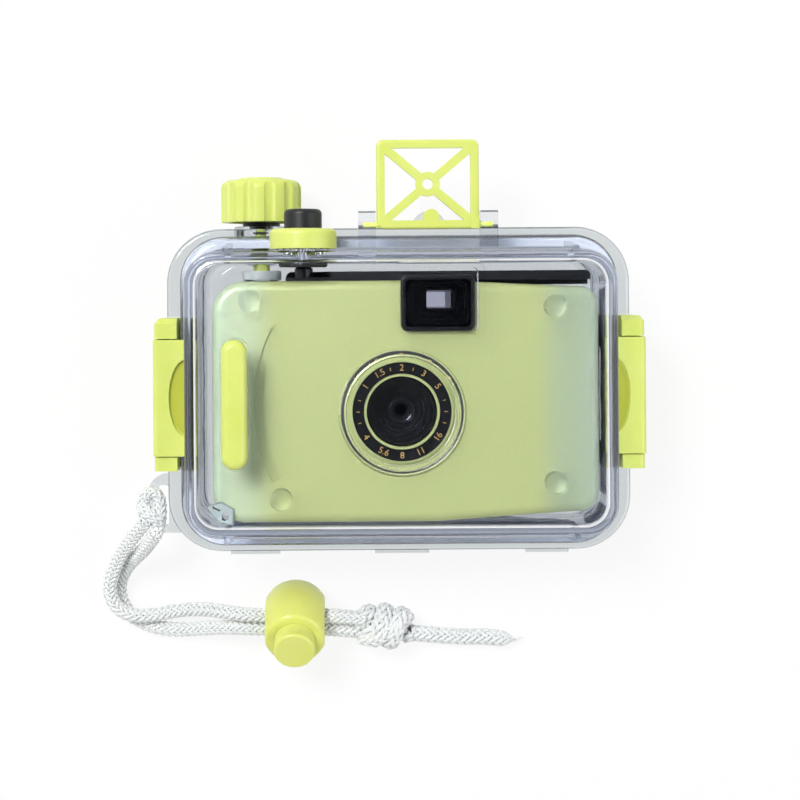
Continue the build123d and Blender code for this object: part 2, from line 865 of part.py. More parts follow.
def sight_frame():
    """Yellow frame with crossed bars, a centre ring, and a stub pin at each end of its foot."""
    middle_x = sight_left + sight_width / 2
    bottom = sight_pivot_y - sight_bar / 2
    middle_y = bottom + sight_height / 2
    inner_width_x = sight_width - 2 * sight_bar
    inner_height_y = sight_height - 2 * sight_bar
    slope = degrees(asin(inner_height_y / (inner_width_x ** 2 + inner_height_y ** 2) ** 0.5))
    windows = Rectangle(inner_width_x, inner_height_y)
    for angle in (slope, -slope):
        windows -= Rot(0, 0, angle) * Rectangle(2 * sight_width, sight_bar)
    windows -= Circle(sight_ring_radius)
    frame = RectangleRounded(sight_width, sight_height, sight_corner)
    for window in windows.faces():
        frame -= fillet(window.vertices(), sight_window_round)
    frame -= Circle(sight_hole_radius)
    plate = extrude(Pos(middle_x, middle_y, sight_z - sight_thickness / 2) * frame,
                    sight_thickness)
    plate = fillet(plate.faces().sort_by(Axis.Z)[-1].outer_wire().edges(), sight_edge_round)
    foot_y = bottom + sight_bar
    tongue = Pos(sight_bump_x, foot_y + sight_bump_rise - sight_bump_radius) * Circle(
        sight_bump_radius)
    tongue += Pos(sight_bump_x, foot_y) * Rectangle(
        2 * sight_bump_radius, 2 * (sight_bump_rise - sight_bump_radius))
    plate += extrude(Pos(0, 0, sight_z - sight_thickness / 2) * tongue, sight_thickness)
    right = sight_left + sight_width
    plate += block(right - sight_collar_width, right, bottom, foot_y + sight_collar_rise,
                   sight_z - sight_thickness / 2, sight_z + sight_collar_depth)
    for end, way in ((sight_left, -1), (right, 1)):
        plate += Pos(end + way * sight_pin_length / 2, sight_pivot_y, sight_z) * Rot(
            0, 90, 0) * Cylinder(sight_pin_radius, sight_pin_length + 1)
    return plate


# Winding knob

def wind_knob():
    """Fluted knob, hollow underneath, with a hub for the shaft."""
    knob_top = knob_bottom + knob_height
    knob = upright(knob_radius, knob_bottom, knob_top, wind_x, wind_z)
    knob = fillet(knob.faces().sort_by(Axis.Y)[-1].edges(), knob_top_round)
    for number in range(knob_scallops):
        angle = 2 * pi * (number + 0.5) / knob_scallops
        reach = knob_radius + knob_scallop_radius - knob_scallop_depth
        knob -= upright(knob_scallop_radius, knob_bottom, knob_top + 1,
                        wind_x + reach * cos(angle), wind_z + reach * sin(angle))
    cap = upright(knob_cap_radius, knob_top - 1, knob_top + knob_cap_rise, wind_x, wind_z)
    knob += fillet(cap.faces().sort_by(Axis.Y)[-1].edges(), knob_cap_rise / 2)
    knob -= (upright(knob_hollow_radius, knob_bottom, knob_top - knob_roof, wind_x, wind_z)
             - upright(knob_hub_radius, knob_bottom, knob_top, wind_x, wind_z))
    return knob - shaft_bar(knob_bottom, knob_bottom + knob_socket_depth)


def shaft_bar(y0, y1):
    """A stretch of the winding shaft's round bar with its one flat."""
    bar = upright(shaft_radius, y0, y1, wind_x, wind_z)
    flat = block(wind_x - shaft_radius, wind_x + shaft_radius, y0, y1,
                 wind_z + shaft_flat, wind_z + shaft_radius)
    return bar - flat


def wind_shaft():
    """Shaft from the knob through the wall, with a thinner neck for its clip."""
    fork_bottom = fork_top - fork_height
    clip_top = back_inner_height / 2 - clip_play
    clip_bottom = clip_top - clip_thickness
    neck = upright(shaft_radius - clip_groove, clip_bottom, clip_top, wind_x, wind_z)
    lower = upright(shaft_radius, fork_bottom, clip_bottom, wind_x, wind_z)
    upper = upright(shaft_radius, clip_top, knob_bottom, wind_x, wind_z)
    return lower + neck + upper + shaft_bar(knob_bottom, knob_bottom + knob_socket_depth)


def wind_clip():
    """Open spring clip in the shaft's groove, inside the wall."""
    clip_top = back_inner_height / 2 - clip_play
    clip = upright(clip_radius, clip_top - clip_thickness, clip_top, wind_x, wind_z)
    clip -= upright(shaft_radius - clip_groove, clip_top - clip_thickness, clip_top,
                    wind_x, wind_z)
    mouth = shaft_radius - clip_groove - clip_mouth_bite
    return clip - block(wind_x - mouth, wind_x + mouth, clip_top - clip_thickness, clip_top,
                        wind_z, wind_z + clip_radius)


def wind_gland_ring():
    """Square-cut rubber ring in the boss that seals the shaft."""
    y0 = wind_boss_top - wind_gland_depth + ring_gap
    y1 = wind_boss_top - ring_gap
    ring = upright(wind_gland_radius - ring_gap, y0, y1, wind_x, wind_z)
    return ring - upright(shaft_radius + ring_gap, y0, y1, wind_x, wind_z)


def wind_washer():
    """Black washer on the boss under the knob."""
    washer = upright(wind_ring_radius, wind_boss_top, knob_bottom - washer_gap, wind_x, wind_z)
    return washer - upright(shaft_radius + shaft_gap, wind_boss_top, knob_bottom,
                            wind_x, wind_z)


def wind_drive_fork():
    """Disc on the shaft's end with two prongs for the camera's winding wheel."""
    fork_bottom = fork_top - fork_height
    fork = upright(fork_radius, fork_bottom, fork_top, wind_x, wind_z)
    fork -= upright(shaft_radius, fork_bottom, fork_top, wind_x, wind_z)
    for x in (wind_x - fork_prong_offset, wind_x + fork_prong_offset):
        fork += block(x - fork_prong_width / 2, x + fork_prong_width / 2,
                      fork_bottom - fork_prong_depth, fork_bottom,
                      wind_z - fork_prong_width / 2, wind_z + fork_prong_width / 2)
    return fork


# Shutter button of the housing

def shutter_collar():
    """Yellow ring screwed on the boss round the button."""
    top = collar_bottom + collar_height
    collar = upright(collar_radius, collar_bottom, top, button_x, button_z)
    collar = fillet(collar.faces().sort_by(Axis.Y)[-1].edges(), collar_round)
    collar -= upright(boss_radius + boss_rib_radius + collar_boss_gap, collar_bottom, boss_top,
                      button_x, button_z)
    return collar - upright(collar_hole_radius, boss_top, top, button_x, button_z)


def shutter_cap():
    """Black rubber cap that the finger pushes, hollow for the spring."""
    bottom = cap_top - cap_height
    cap = upright(cap_radius, bottom, cap_top, button_x, button_z)
    cap = fillet(cap.faces().sort_by(Axis.Y)[-1].edges(), cap_round)
    cap -= upright(spring_radius + spring_wire + cap_spring_gap, bottom,
                   bottom + cap_bore_depth, button_x, button_z)
    return cap - upright(plunger_radius, bottom, cap_top - cap_roof, button_x, button_z)


def shutter_plunger():
    """Steel rod from the cap through the boss to the foot."""
    return upright(plunger_radius, foot_bottom + foot_floor, cap_top - cap_roof,
                   button_x, button_z)


def shutter_foot():
    """Black disc on the rod's inner end that presses the camera's release."""
    foot = upright(foot_radius, foot_bottom, foot_top, button_x, button_z)
    foot = chamfer(foot.faces().sort_by(Axis.Y)[0].edges(), foot_chamfer)
    return foot - upright(plunger_radius, foot_bottom + foot_floor, foot_top,
                          button_x, button_z)


def shutter_seal():
    """Square-cut rubber ring in the boss that seals the rod."""
    y0 = boss_top - button_gland_depth + ring_gap
    y1 = boss_top - ring_gap
    ring = upright(button_gland_radius - ring_gap, y0, y1, button_x, button_z)
    return ring - upright(plunger_radius + ring_gap, y0, y1, button_x, button_z)


def coil(radius, wire, turns, length):
    """A coil spring that stands on the XY plane, its wire drawn with six flats."""
    path = Helix((length - wire) / turns, length - wire, radius)
    profile = Plane(origin=path @ 0, z_dir=path % 0) * RegularPolygon(wire / 2, 6)
    return Pos(0, 0, wire / 2) * sweep(profile, path=path, is_frenet=True)


def shutter_spring():
    """Steel spring that lifts the cap."""
    length = cap_top - cap_height + cap_bore_depth - boss_top
    spring = coil(spring_radius, spring_wire, spring_turns, length - 2 * spring_end_gap)
    return Pos(button_x, boss_top + spring_end_gap, button_z) * Rot(-90, 0, 0) * spring


# Film camera: body and covers

def camera_outline(inset=0.0):
    """The camera seen from the front: upright at the left, a little lower towards the right."""
    left = camera_left + inset
    right = camera_right - inset
    top = camera_top_edge - inset
    bottom = camera_bottom + inset
    outline = make_face(Polyline(
        (left, bottom), (cover_taper_start, bottom), (right, bottom + cover_taper_bottom),
        (right, top - cover_taper_top), (cover_taper_start, top), (left, top), close=True))
    corners = outline.vertices().sort_by(Axis.X)
    outline = fillet(corners[:2], cover_corner - inset)
    return fillet(outline.vertices().sort_by(Axis.X)[-2:], cover_right_corner - inset)


def prism(outline, bottom, top):
    """A flat outline raised from one height to another."""
    return extrude(Pos(0, 0, bottom) * outline, top - bottom)


def bezel_block(margin, bottom, top):
    """The space that the viewfinder's front housing takes, with a margin."""
    return slab(bezel_width + 2 * margin, bezel_height + 2 * margin, bezel_corner + margin,
                bottom, top, bezel_x, bezel_y)


def tube_block(margin, bottom, top):
    """The space that the viewfinder's rear tube takes, with a margin."""
    wall = bezel_wall + margin
    return slab(sight_tube_width + 2 * wall, sight_tube_height + 2 * wall, wall,
                bottom, top, sight_tube_x, sight_tube_y)


def camera_front_cover():
    """Pale moulded front: tray over the body, a collar for the lens and a finger groove."""
    cover = prism(camera_outline(), camera_front - cover_depth, camera_front)
    cover = fillet(cover.faces().sort_by(Axis.Z)[-1].edges(), cover_round)
    cover -= prism(camera_outline(cover_wall), camera_front - cover_depth,
                   camera_front - cover_wall)
    cover += disc(lens_collar_radius, camera_front - cover_wall, lens_seat, lens_x, lens_y)
    ring_floor = lens_seat - lens_ring_recess
    cover -= (disc(lens_ring_outer + lens_ring_gap, ring_floor, lens_seat, lens_x, lens_y)
              - disc(lens_ring_inner - lens_ring_gap, ring_floor, lens_seat, lens_x, lens_y))
    cover -= disc(barrel_radius + barrel_gap, 0, lens_seat, lens_x, lens_y)
    groove_middle_x = camera_left + groove_from_left + groove_radius
    sweep_line = CenterArc((groove_middle_x, groove_mid_y), groove_radius,
                           180 - groove_half_angle, 2 * groove_half_angle)
    groove = prism(trace(sweep_line, groove_width), camera_front - groove_depth, camera_front)
    release_hole = upright(release_radius + release_skirt + running_gap, 0,
                           camera_top_edge, button_x, release_z)
    return (cover - groove - bezel_block(bezel_margin, 0, camera_front) - release_hole
            - eye_plate(eye_gap, 0, lens_seat))


def eye_plate(margin, bottom, top):
    """The strap eye's outline at the camera's corner, with a margin, raised between heights."""
    corner = Pos(camera_left, camera_bottom, bottom)
    outline = make_face(Polyline(*eye_outline, close=True))
    return extrude(corner * offset(outline, margin), top - bottom) if margin else extrude(
        corner * outline, top - bottom)


def camera_strap_eye():
    """Grey eye for the camera's own strap, seated on the body in a gap of the cover's corner."""
    bottom = camera_front - eye_sink
    top = camera_front + eye_rise
    eye = eye_plate(0, bottom, top)
    eye = chamfer(eye.faces().sort_by(Axis.Z)[-1].edges(), eye_edge)
    hole = SlotOverall(eye_hole_length, eye_hole_width, rotation=eye_hole_turn)
    eye -= extrude(Pos(camera_left + eye_hole[0], camera_bottom + eye_hole[1], bottom) * hole,
                   top - bottom)
    slot = SlotOverall(eye_slot_length, eye_slot_width, rotation=-25)
    return eye - extrude(Pos(camera_left + eye_slot[0], camera_bottom + eye_slot[1], bottom)
                         * slot, top - bottom)


def lens_ring():
    """Black ring set in the cover's collar round the lens."""
    bottom = lens_seat - lens_ring_recess
    ring = disc(lens_ring_outer, bottom, bottom + lens_ring_thickness, lens_x, lens_y)
    return ring - disc(lens_ring_inner, bottom, bottom + lens_ring_thickness, lens_x, lens_y)


def camera_body():
    """Black body: film chambers and gate behind, room for lens and shutter in front."""
    body = prism(camera_outline(body_inset), body_back, body_front)
    front_room = prism(camera_outline(body_inset + shell_wall), shutter_floor, body_front)
    front_room -= disc(barrel_radius + barrel_gap + shell_wall, shutter_floor, lens_back,
                       lens_x, lens_y)
    body -= front_room
    body -= disc(barrel_radius + barrel_gap - barrel_lip, shutter_floor + shutter_room,
                 lens_back, lens_x, lens_y)
    body -= disc(shutter_room_radius, shutter_floor, shutter_floor + shutter_room,
                 lens_x, lens_y)
    channel_top = body_back + film_channel_depth
    body -= block(sprocket_x, cassette_x, lens_y - film_channel_width / 2,
                  lens_y + film_channel_width / 2, body_back, channel_top)
    gate_back = Pos(lens_x, lens_y, channel_top) * Rectangle(gate_width, gate_height)
    gate_front = Pos(lens_x, lens_y, shutter_floor) * Circle(gate_front_radius)
    body -= loft([gate_back.faces()[0], gate_front.faces()[0]])
    for x, z, radius, y0, y1 in (
            (wind_x, wind_z, spool_flange_radius + chamber_gap, spool_bottom - spool_gap,
             spool_top + spool_gap),
            (wind_x, wind_z, wheel_radius + chamber_gap, wheel_bottom - running_gap,
             camera_top_edge),
            (sprocket_x, sprocket_z, sprocket_radius + chamber_gap, sprocket_low,
             sprocket_high),
            (cassette_x, cassette_z, chamber_radius, lens_y - cassette_length / 2,
             lens_y + cassette_length / 2)):
        body -= upright(radius, y0, y1, x, z)
        body -= block(x - radius, x + radius, y0, y1, body_back, z)
    body -= upright(spool_hub_radius + running_gap, spool_bottom - pivot_depth, wheel_bottom,
                    wind_x, wind_z)
    body -= upright(sprocket_pivot_radius + running_gap, sprocket_low - pivot_depth,
                    sprocket_high + pivot_depth, sprocket_x, sprocket_z)
    body -= upright(rewind_shaft_radius + running_gap, lens_y, camera_top_edge,
                    cassette_x, cassette_z)
    body -= upright(release_radius + release_skirt + running_gap,
                    camera_top_edge - release_skirt_height - release_room, camera_top_edge,
                    button_x, release_z)
    body -= bezel_block(bezel_margin, shutter_floor, body_front)
    body -= tube_block(bezel_margin, body_back, body_front)
    pivot = disc(blade_pin_radius, shutter_floor - 1, shutter_floor + shutter_room,
                 lens_x + blade_pivot_offset, lens_y)
    return body + pivot


def camera_back_door():
    """Black back door with the viewfinder's window and a slot for the winding wheel."""
    door = prism(camera_outline(), camera_back, camera_back + door_thickness - door_gap)
    door = fillet(door.faces().sort_by(Axis.Z)[0].edges(), door_round)
    inner_face = camera_back + door_thickness - door_gap
    for x, z, radius, y0, y1 in (
            (wind_x, wind_z, spool_flange_radius, spool_bottom - spool_gap,
             spool_top + spool_gap),
            (cassette_x, cassette_z, chamber_radius - chamber_gap,
             lens_y - cassette_length / 2, lens_y + cassette_length / 2)):
        pocket = upright(radius + chamber_gap, y0, y1, x, z)
        door -= pocket & block(x - radius, x + radius, y0, y1, camera_back + door_skin,
                               inner_face)
    door -= block(wind_x - wheel_radius - wheel_slot_gap, wind_x + wheel_radius + wheel_slot_gap,
                  wheel_bottom - wheel_slot_gap, wheel_top + wheel_slot_gap, 0, body_front)
    return door - slab(sight_tube_width, sight_tube_height, 0.6, 0, body_front,
                       sight_tube_x, sight_tube_y)


def camera_top():
    """Black top plate: dish for the release, seats for the counter and the rewind knob."""
    right = camera_right - body_inset
    lower = block(top_plate_left, right, top_plate_bottom, camera_top_edge,
                  top_plate_back, camera_front - cover_depth - door_gap)
    upper = block(top_plate_left, right, camera_top_edge, top_plate_top,
                  top_plate_back, top_plate_front)
    plate = lower + upper
    end_edges = plate.edges().filter_by(Axis.Z).group_by(Axis.Y)[-1]
    plate = fillet(end_edges, top_plate_round)
    plate -= upright(release_dish_radius, top_plate_top - release_dish_depth, top_plate_top,
                     button_x, button_z)
    plate -= upright(release_radius + running_gap, 0, top_plate_top, button_x, release_z)
    plate -= upright(release_radius + release_skirt + running_gap, 0, camera_top_edge,
                     button_x, release_z)
    plate -= upright(counter_radius + counter_gap, counter_seat, top_plate_top,
                     counter_x, counter_z)
    plate -= upright(counter_pivot_radius + running_gap, counter_seat - counter_pivot_depth,
                     counter_seat, counter_x, counter_z)
    plate -= upright(rewind_radius + counter_gap, rewind_seat, top_plate_top,
                     cassette_x, cassette_z)
    plate -= upright(rewind_shaft_radius + running_gap, 0, rewind_seat, cassette_x, cassette_z)
    return plate - bezel_block(bezel_margin, 0, housing_depth)


# Film camera: viewfinder, lens and shutter

def viewfinder_bezel():
    """Black viewfinder housing: a mouth that narrows in four steps to a small tube behind."""
    top = camera_front + bezel_rise
    neck = bezel_neck_z
    bezel = bezel_block(0, neck, top)
    bezel = fillet(bezel.faces().sort_by(Axis.Z)[-1].edges(), bezel_edge_round)
    bezel += tube_block(0, camera_back + door_thickness, neck)
    mouth = slab(bezel_width - 2 * bezel_wall, bezel_height - 2 * bezel_wall,
                 bezel_corner - bezel_wall / 2, top - front_glass_thickness, top,
                 bezel_x, bezel_y)
    bezel -= mouth
    steps_top = top - front_glass_thickness
    widest = bezel_width - 2 * bezel_wall - bezel_ledge
    tallest = bezel_height - 2 * bezel_wall - bezel_ledge
    for number in range(bezel_steps):
        share = number / (bezel_steps - 1)
        floor = steps_top + (neck - steps_top) * (number + 1) / bezel_steps
        bezel -= slab(widest + (bezel_throat_width - widest) * share,
                      tallest + (bezel_throat_height - tallest) * share,
                      bezel_corner, floor, steps_top,
                      bezel_x + (sight_tube_x - bezel_x) * share,
                      bezel_y + (sight_tube_y - bezel_y) * share)
    tube = slab(sight_tube_width, sight_tube_height, 0.6, camera_back, neck,
                sight_tube_x, sight_tube_y)
    return bezel - tube


def viewfinder_front_lens():
    """Clear square-cut lens in the bezel's mouth, with a round hollow ground in it."""
    top = camera_front + bezel_rise
    pane = slab(bezel_width - 2 * bezel_wall, bezel_height - 2 * bezel_wall,
                bezel_corner - bezel_wall / 2, top - front_glass_thickness, top,
                bezel_x, bezel_y)
    ball_radius = (bezel_glass_radius ** 2 + bezel_glass_sag ** 2) / (2 * bezel_glass_sag)
    ball = Pos(bezel_x, bezel_y, top + ball_radius - bezel_glass_sag) * Sphere(ball_radius)
    return pane - ball


def viewfinder_eye_lens():
    """Small clear lens at the rear end of the viewfinder's tube."""
    bottom = camera_back + door_thickness
    return slab(sight_tube_width, sight_tube_height, 0.6, bottom,
                bottom + eye_glass_thickness, sight_tube_x, sight_tube_y)


def lens_barrel():
    """Black stepped barrel that holds both lens elements."""
    top = camera_front + barrel_rise
    barrel = disc(barrel_radius, lens_back, top, lens_x, lens_y)
    barrel = chamfer(barrel.faces().sort_by(Axis.Z)[-1].edges(), barrel_edge_chamfer)
    for number in range(barrel_steps):
        share = number / barrel_steps
        radius = barrel_mouth_radius + (barrel_throat_radius - barrel_mouth_radius) * share
        depth = barrel_cone_depth * (number + 1) / barrel_steps
        barrel -= disc(radius, top - depth, top, lens_x, lens_y)
    barrel -= disc(barrel_throat_radius, lens_back, top, lens_x, lens_y)
    seat_top = top - barrel_cone_depth - barrel_seat_lip
    return barrel - disc(glass_radius, lens_back, seat_top, lens_x, lens_y)


def round_glass(thickness, top):
    """A lens with both faces bulging, whose rim ends at a given height."""
    bulge = (thickness - glass_edge) / 2
    ball_radius = (glass_radius ** 2 + bulge ** 2) / (2 * bulge)
    glass = disc(glass_radius, top - glass_edge - bulge, top + bulge, lens_x, lens_y)
    glass &= Pos(lens_x, lens_y, top + bulge - ball_radius) * Sphere(ball_radius)
    return glass & (Pos(lens_x, lens_y, top - glass_edge - bulge + ball_radius)
                    * Sphere(ball_radius))


def lens_front_element():
    """Front lens, seated under the barrel's lip."""
    lip = camera_front + barrel_rise - barrel_cone_depth - barrel_seat_lip
    return round_glass(glass_front_thickness, lip - glass_lip_gap)


def aperture_plate():
    """Black stop between the two lens elements."""
    top = lens_back + glass_rear_thickness + glass_gap / 2
    plate = disc(glass_radius, top - stop_thickness, top, lens_x, lens_y)
    return plate - disc(stop_hole_radius, top - stop_thickness, top, lens_x, lens_y)


def lens_rear_element():
    """Rear lens, at the back end of the barrel."""
    return round_glass(glass_rear_thickness, lens_back + glass_rear_thickness)


def shutter_blade():
    """Thin swinging blade that covers the light path at rest."""
    bottom = shutter_floor + blade_clearance
    pivot_x = lens_x + blade_pivot_offset
    blade = disc(blade_radius, bottom, bottom + blade_thickness, lens_x, lens_y)
    blade += disc(blade_pin_radius + blade_wall, bottom, bottom + blade_thickness,
                  pivot_x, lens_y)
    blade += block(lens_x, pivot_x, lens_y - blade_arm / 2, lens_y + blade_arm / 2,
                   bottom, bottom + blade_thickness)
    return blade - disc(blade_pin_radius + blade_pin_gap, bottom, bottom + blade_thickness,
                        pivot_x, lens_y)


# Film camera: winding, film path and controls

def wind_wheel():
    """Toothed winding wheel of the camera, with a slotted hub for the drive fork."""
    wheel = upright(wheel_radius - wheel_tooth_depth, wheel_bottom, wheel_top, wind_x, wind_z)
    tooth_width = pi * wheel_radius / wheel_teeth
    tooth = Pos(wheel_radius - wheel_tooth_depth / 2 - 0.1, 0, 0) * Box(
        wheel_tooth_depth + 0.2, tooth_width, wheel_height)
    middle_y = (wheel_bottom + wheel_top) / 2
    teeth = [Rot(0, 0, 360 * number / wheel_teeth) * tooth for number in range(wheel_teeth)]
    wheel += Pos(wind_x, middle_y, wind_z) * Rot(90, 0, 0) * (Part() + teeth)
    hub_top = wheel_top + hub_height
    wheel += upright(hub_radius, wheel_top, hub_top, wind_x, wind_z)
    slot = fork_prong_width / 2 + fork_side_gap
    floor = fork_top - fork_height - fork_prong_depth - fork_prong_gap
    wheel -= block(wind_x - hub_radius, wind_x + hub_radius, floor, hub_top,
                   wind_z - slot, wind_z + slot)
    return wheel - upright(spool_hub_radius, wheel_bottom, wheel_top - wheel_web,
                           wind_x, wind_z)


def take_up_spool():
    """Spool that the film winds on, with a slot for the film's tongue."""
    spool = upright(spool_radius, spool_bottom, spool_top, wind_x, wind_z)
    spool += upright(spool_flange_radius, spool_bottom, spool_bottom + spool_flange,
                     wind_x, wind_z)
    spool += upright(spool_flange_radius, spool_top - spool_flange, spool_top, wind_x, wind_z)
    spool += upright(spool_hub_radius, spool_bottom - pivot_depth + running_gap,
                     wheel_top - wheel_web, wind_x, wind_z)
    return spool - block(wind_x - spool_radius, wind_x + spool_radius,
                         lens_y - film_slot_height / 2, lens_y + film_slot_height / 2,
                         wind_z - spool_slot / 2, wind_z + spool_slot / 2)


def sprocket_shaft():
    """Shaft with two toothed discs that the film's holes turn."""
    shaft = upright(sprocket_body_radius, sprocket_low + spool_gap, sprocket_high - spool_gap,
                    sprocket_x, sprocket_z)
    shaft += upright(sprocket_pivot_radius, sprocket_low - pivot_depth + running_gap,
                     sprocket_high + pivot_depth - running_gap, sprocket_x, sprocket_z)
    rim = sprocket_radius - sprocket_tooth_height
    for side in (-1, 1):
        y = lens_y + side * sprocket_pitch_y / 2
        shaft += upright(rim, y - sprocket_disc / 2, y + sprocket_disc / 2,
                         sprocket_x, sprocket_z)
        for number in range(sprocket_teeth):
            tooth = Pos(0, 0, rim - sprocket_tooth_height) * extrude(
                Rectangle(2 * sprocket_tooth_foot, 2 * sprocket_tooth_foot),
                2 * sprocket_tooth_height, taper=sprocket_tooth_slope)
            turn = Rot(0, 360 * number / sprocket_teeth, 0)
            shaft += Pos(sprocket_x, y, sprocket_z) * turn * tooth
    return shaft


def rewind_knob():
    """Low rewind knob sunk in the top plate, with its folded crank."""
    top = rewind_seat + rewind_thickness
    knob = upright(rewind_radius, rewind_seat + door_gap, top, cassette_x, cassette_z)
    ring = upright(rewind_radius - 1, top - rewind_groove_depth, top, cassette_x, cassette_z)
    crank = block(cassette_x - rewind_radius, cassette_x + rewind_radius,
                  top - rewind_groove_depth, top, cassette_z - rewind_crank_width / 2,
                  cassette_z + rewind_crank_width / 2)
    return knob - (ring - crank)


def rewind_fork():
    """Shaft under the rewind knob with a flat end that enters the film cassette."""
    top = rewind_seat + door_gap
    chamber_top = lens_y + cassette_length / 2
    shaft = upright(rewind_shaft_radius, chamber_top - rewind_fork_length, top,
                    cassette_x, cassette_z)
    cheek = (rewind_shaft_radius - rewind_fork_slot / 2)
    for side in (-1, 1):
        z0, z1 = sorted((cassette_z + side * rewind_fork_slot / 2,
                         cassette_z + side * (rewind_fork_slot / 2 + cheek)))
        shaft -= block(cassette_x - rewind_shaft_radius, cassette_x + rewind_shaft_radius,
                       chamber_top - rewind_fork_length,
                       chamber_top - rewind_fork_length / 2, z0, z1)
    return shaft


def film_counter():
    """Thin numbered disc under the top plate's surface, with its pivot."""
    counter = upright(counter_radius, counter_seat + door_gap,
                      counter_seat + counter_thickness, counter_x, counter_z)
    return counter + upright(counter_pivot_radius,
                             counter_seat - counter_pivot_depth + running_gap,
                             counter_seat + door_gap, counter_x, counter_z)


def release_button():
    """The camera's own release, held under the top plate by a flange."""
    flange_bottom = camera_top_edge - release_skirt_height
    button = upright(release_radius, flange_bottom, release_top, button_x, release_z)
    button = chamfer(button.faces().sort_by(Axis.Y)[-1].edges(), release_chamfer)
    return button + upright(release_radius + release_skirt, flange_bottom,
                            camera_top_edge - running_gap, button_x, release_z)


def pressure_plate():
    """Flat plate behind the film."""
    bottom = camera_back + door_thickness - door_gap + pressure_spring_rise
    return slab(pressure_width, pressure_height, 1.0, bottom, bottom + pressure_thickness,
                lens_x, lens_y)


def pressure_spring():
    """Bowed strip between the back door and the pressure plate."""
    low = camera_back + door_thickness - door_gap
    half = pressure_width / 2 - pressure_spring_inset
    rise = pressure_spring_rise - pressure_spring_leaf
    lower = ThreePointArc((-half, 0), (0, rise), (half, 0))
    upper = ThreePointArc((half, pressure_spring_leaf), (0, rise + pressure_spring_leaf),
                          (-half, pressure_spring_leaf))
    profile = make_face([lower, Line((half, 0), (half, pressure_spring_leaf)), upper,
                         Line((-half, pressure_spring_leaf), (-half, 0))])
    strip = extrude(Plane.XZ * profile, pressure_spring_width)
    return Pos(lens_x, lens_y + pressure_spring_width / 2, low) * strip


# Wrist cord

def cord_tube(route, diameter):
    """A round tube along straight runs joined by arcs as large as the runs allow."""
    points = [Vector(lug_outer_x + x, y, z) for x, y, z in route]
    radii = []
    for before, here, after in zip(points, points[1:], points[2:]):
        turn = radians((here - before).get_angle(after - here))
        shorter = min((here - before).length, (after - here).length)
        radii.append(0.45 * shorter / tan(turn / 2))
    path = FilletPolyline(*points, radius=radii)
    profile = Plane(origin=path @ 0, z_dir=path % 0) * Circle(diameter / 2)
    tube = sweep(profile, path=path)
    section = pi * diameter ** 2 / 4 * path.length
    print(f"cord of {path.length:.1f} mm, tightest arc {min(radii):.1f} mm,",
          f"volume over section times length {tube.volume / section:.4f}")
    return tube


def cord_hitch():
    """The cord's two turns round the lug's bar and the bunch that they make above it."""
    lug_bottom = rim_bottom + lug_inset
    bar_x = lug_outer_x + lug_bar / 2 - hitch_shift
    bar_z = lug_bottom + lug_thickness / 2
    reach = ((lug_bar / 2 + hitch_shift) ** 2 + (lug_thickness / 2) ** 2) ** 0.5
    ring_inner = reach + hitch_rest_gap
    top = lug_bottom + lug_thickness + hitch_rest_gap
    bunch = Pos(bar_x, hitch_y, top + hitch_size[2] / 2) * Box(*hitch_size)
    bunch = fillet(bunch.edges(), hitch_round)
    for y in (hitch_y - hitch_ring_spread, hitch_y + hitch_ring_spread):
        turn = upright(ring_inner + hitch_wire, y - hitch_band / 2, y + hitch_band / 2,
                       bar_x, bar_z)
        bunch += turn - upright(ring_inner, y - hitch_band / 2, y + hitch_band / 2,
                                bar_x, bar_z)
    return bunch


def cord_knot():
    """The overhand knot in both strands."""
    knot = Pos(knot_x, knot_y, knot_size[2] / 2 + table_gap) * Box(*knot_size)
    return fillet(knot.edges(), knot_round)


def lock_place(part):
    """Moves a piece of the cord lock from its own axis to where it lies."""
    tilt = radians(lock_tilt)
    sunk = lock_end_radius - lock_end_round
    height = ((lock_below - lock_end_round) * cos(tilt) + sunk * sin(tilt) + lock_end_round
              + table_gap)
    return Pos(lock_x, lock_y, height) * Rot(lock_tilt, 0, 0) * part


def cord_slot(rise, length):
    """The long hole for both strands, with extra room on the button's side."""
    wide = strand_pair_pitch + cord_diameter + 2 * lock_slot_gap
    high = cord_diameter + 2 * lock_slot_gap + rise
    outline = RectangleRounded(wide, high, (cord_diameter + lock_slot_gap) / 2)
    return Pos(-length / 2, 0, rise / 2) * extrude(Plane.YZ * outline, length)


def cord_lock_body():
    """Yellow barrel of the cord lock, cut flat on both sides."""
    profile = make_face([
        Line((0, -lock_below), (lock_end_radius, -lock_below)),
        ThreePointArc((lock_end_radius, -lock_below), (lock_radius, 0),
                      (lock_end_radius, lock_above)),
        Line((lock_end_radius, lock_above), (0, lock_above)),
        Line((0, lock_above), (0, -lock_below))])
    barrel = revolve(Plane.XZ * profile, Axis.Z)
    ends = barrel.edges().filter_by(GeomType.CIRCLE)
    barrel = fillet(ends, lock_end_round)
    barrel &= Box(lock_flats, 3 * lock_radius, 4 * lock_radius)
    bore_radius = lock_button_radius + lock_button_gap
    barrel -= disc(bore_radius, lock_floor - lock_below, lock_above, 0, 0)
    return lock_place(barrel - cord_slot(0, 3 * lock_radius))


def cord_lock_button():
    """Yellow push button with the second cord hole through it."""
    top = lock_above + lock_button_above
    button = disc(lock_button_radius, -lock_button_below, top, 0, 0)
    button = fillet(button.faces().sort_by(Axis.Z)[-1].edges(), lock_button_round)
    return lock_place(button - cord_slot(lock_button_travel, 3 * lock_radius))


def cord_lock_spring():
    """Steel spring under the lock's button."""
    room = lock_below - lock_floor - lock_button_below
    spring = coil(lock_spring_radius, lock_spring_wire, 2, room - 2 * spring_end_gap)
    return lock_place(Pos(0, 0, lock_floor - lock_below + spring_end_gap) * spring)


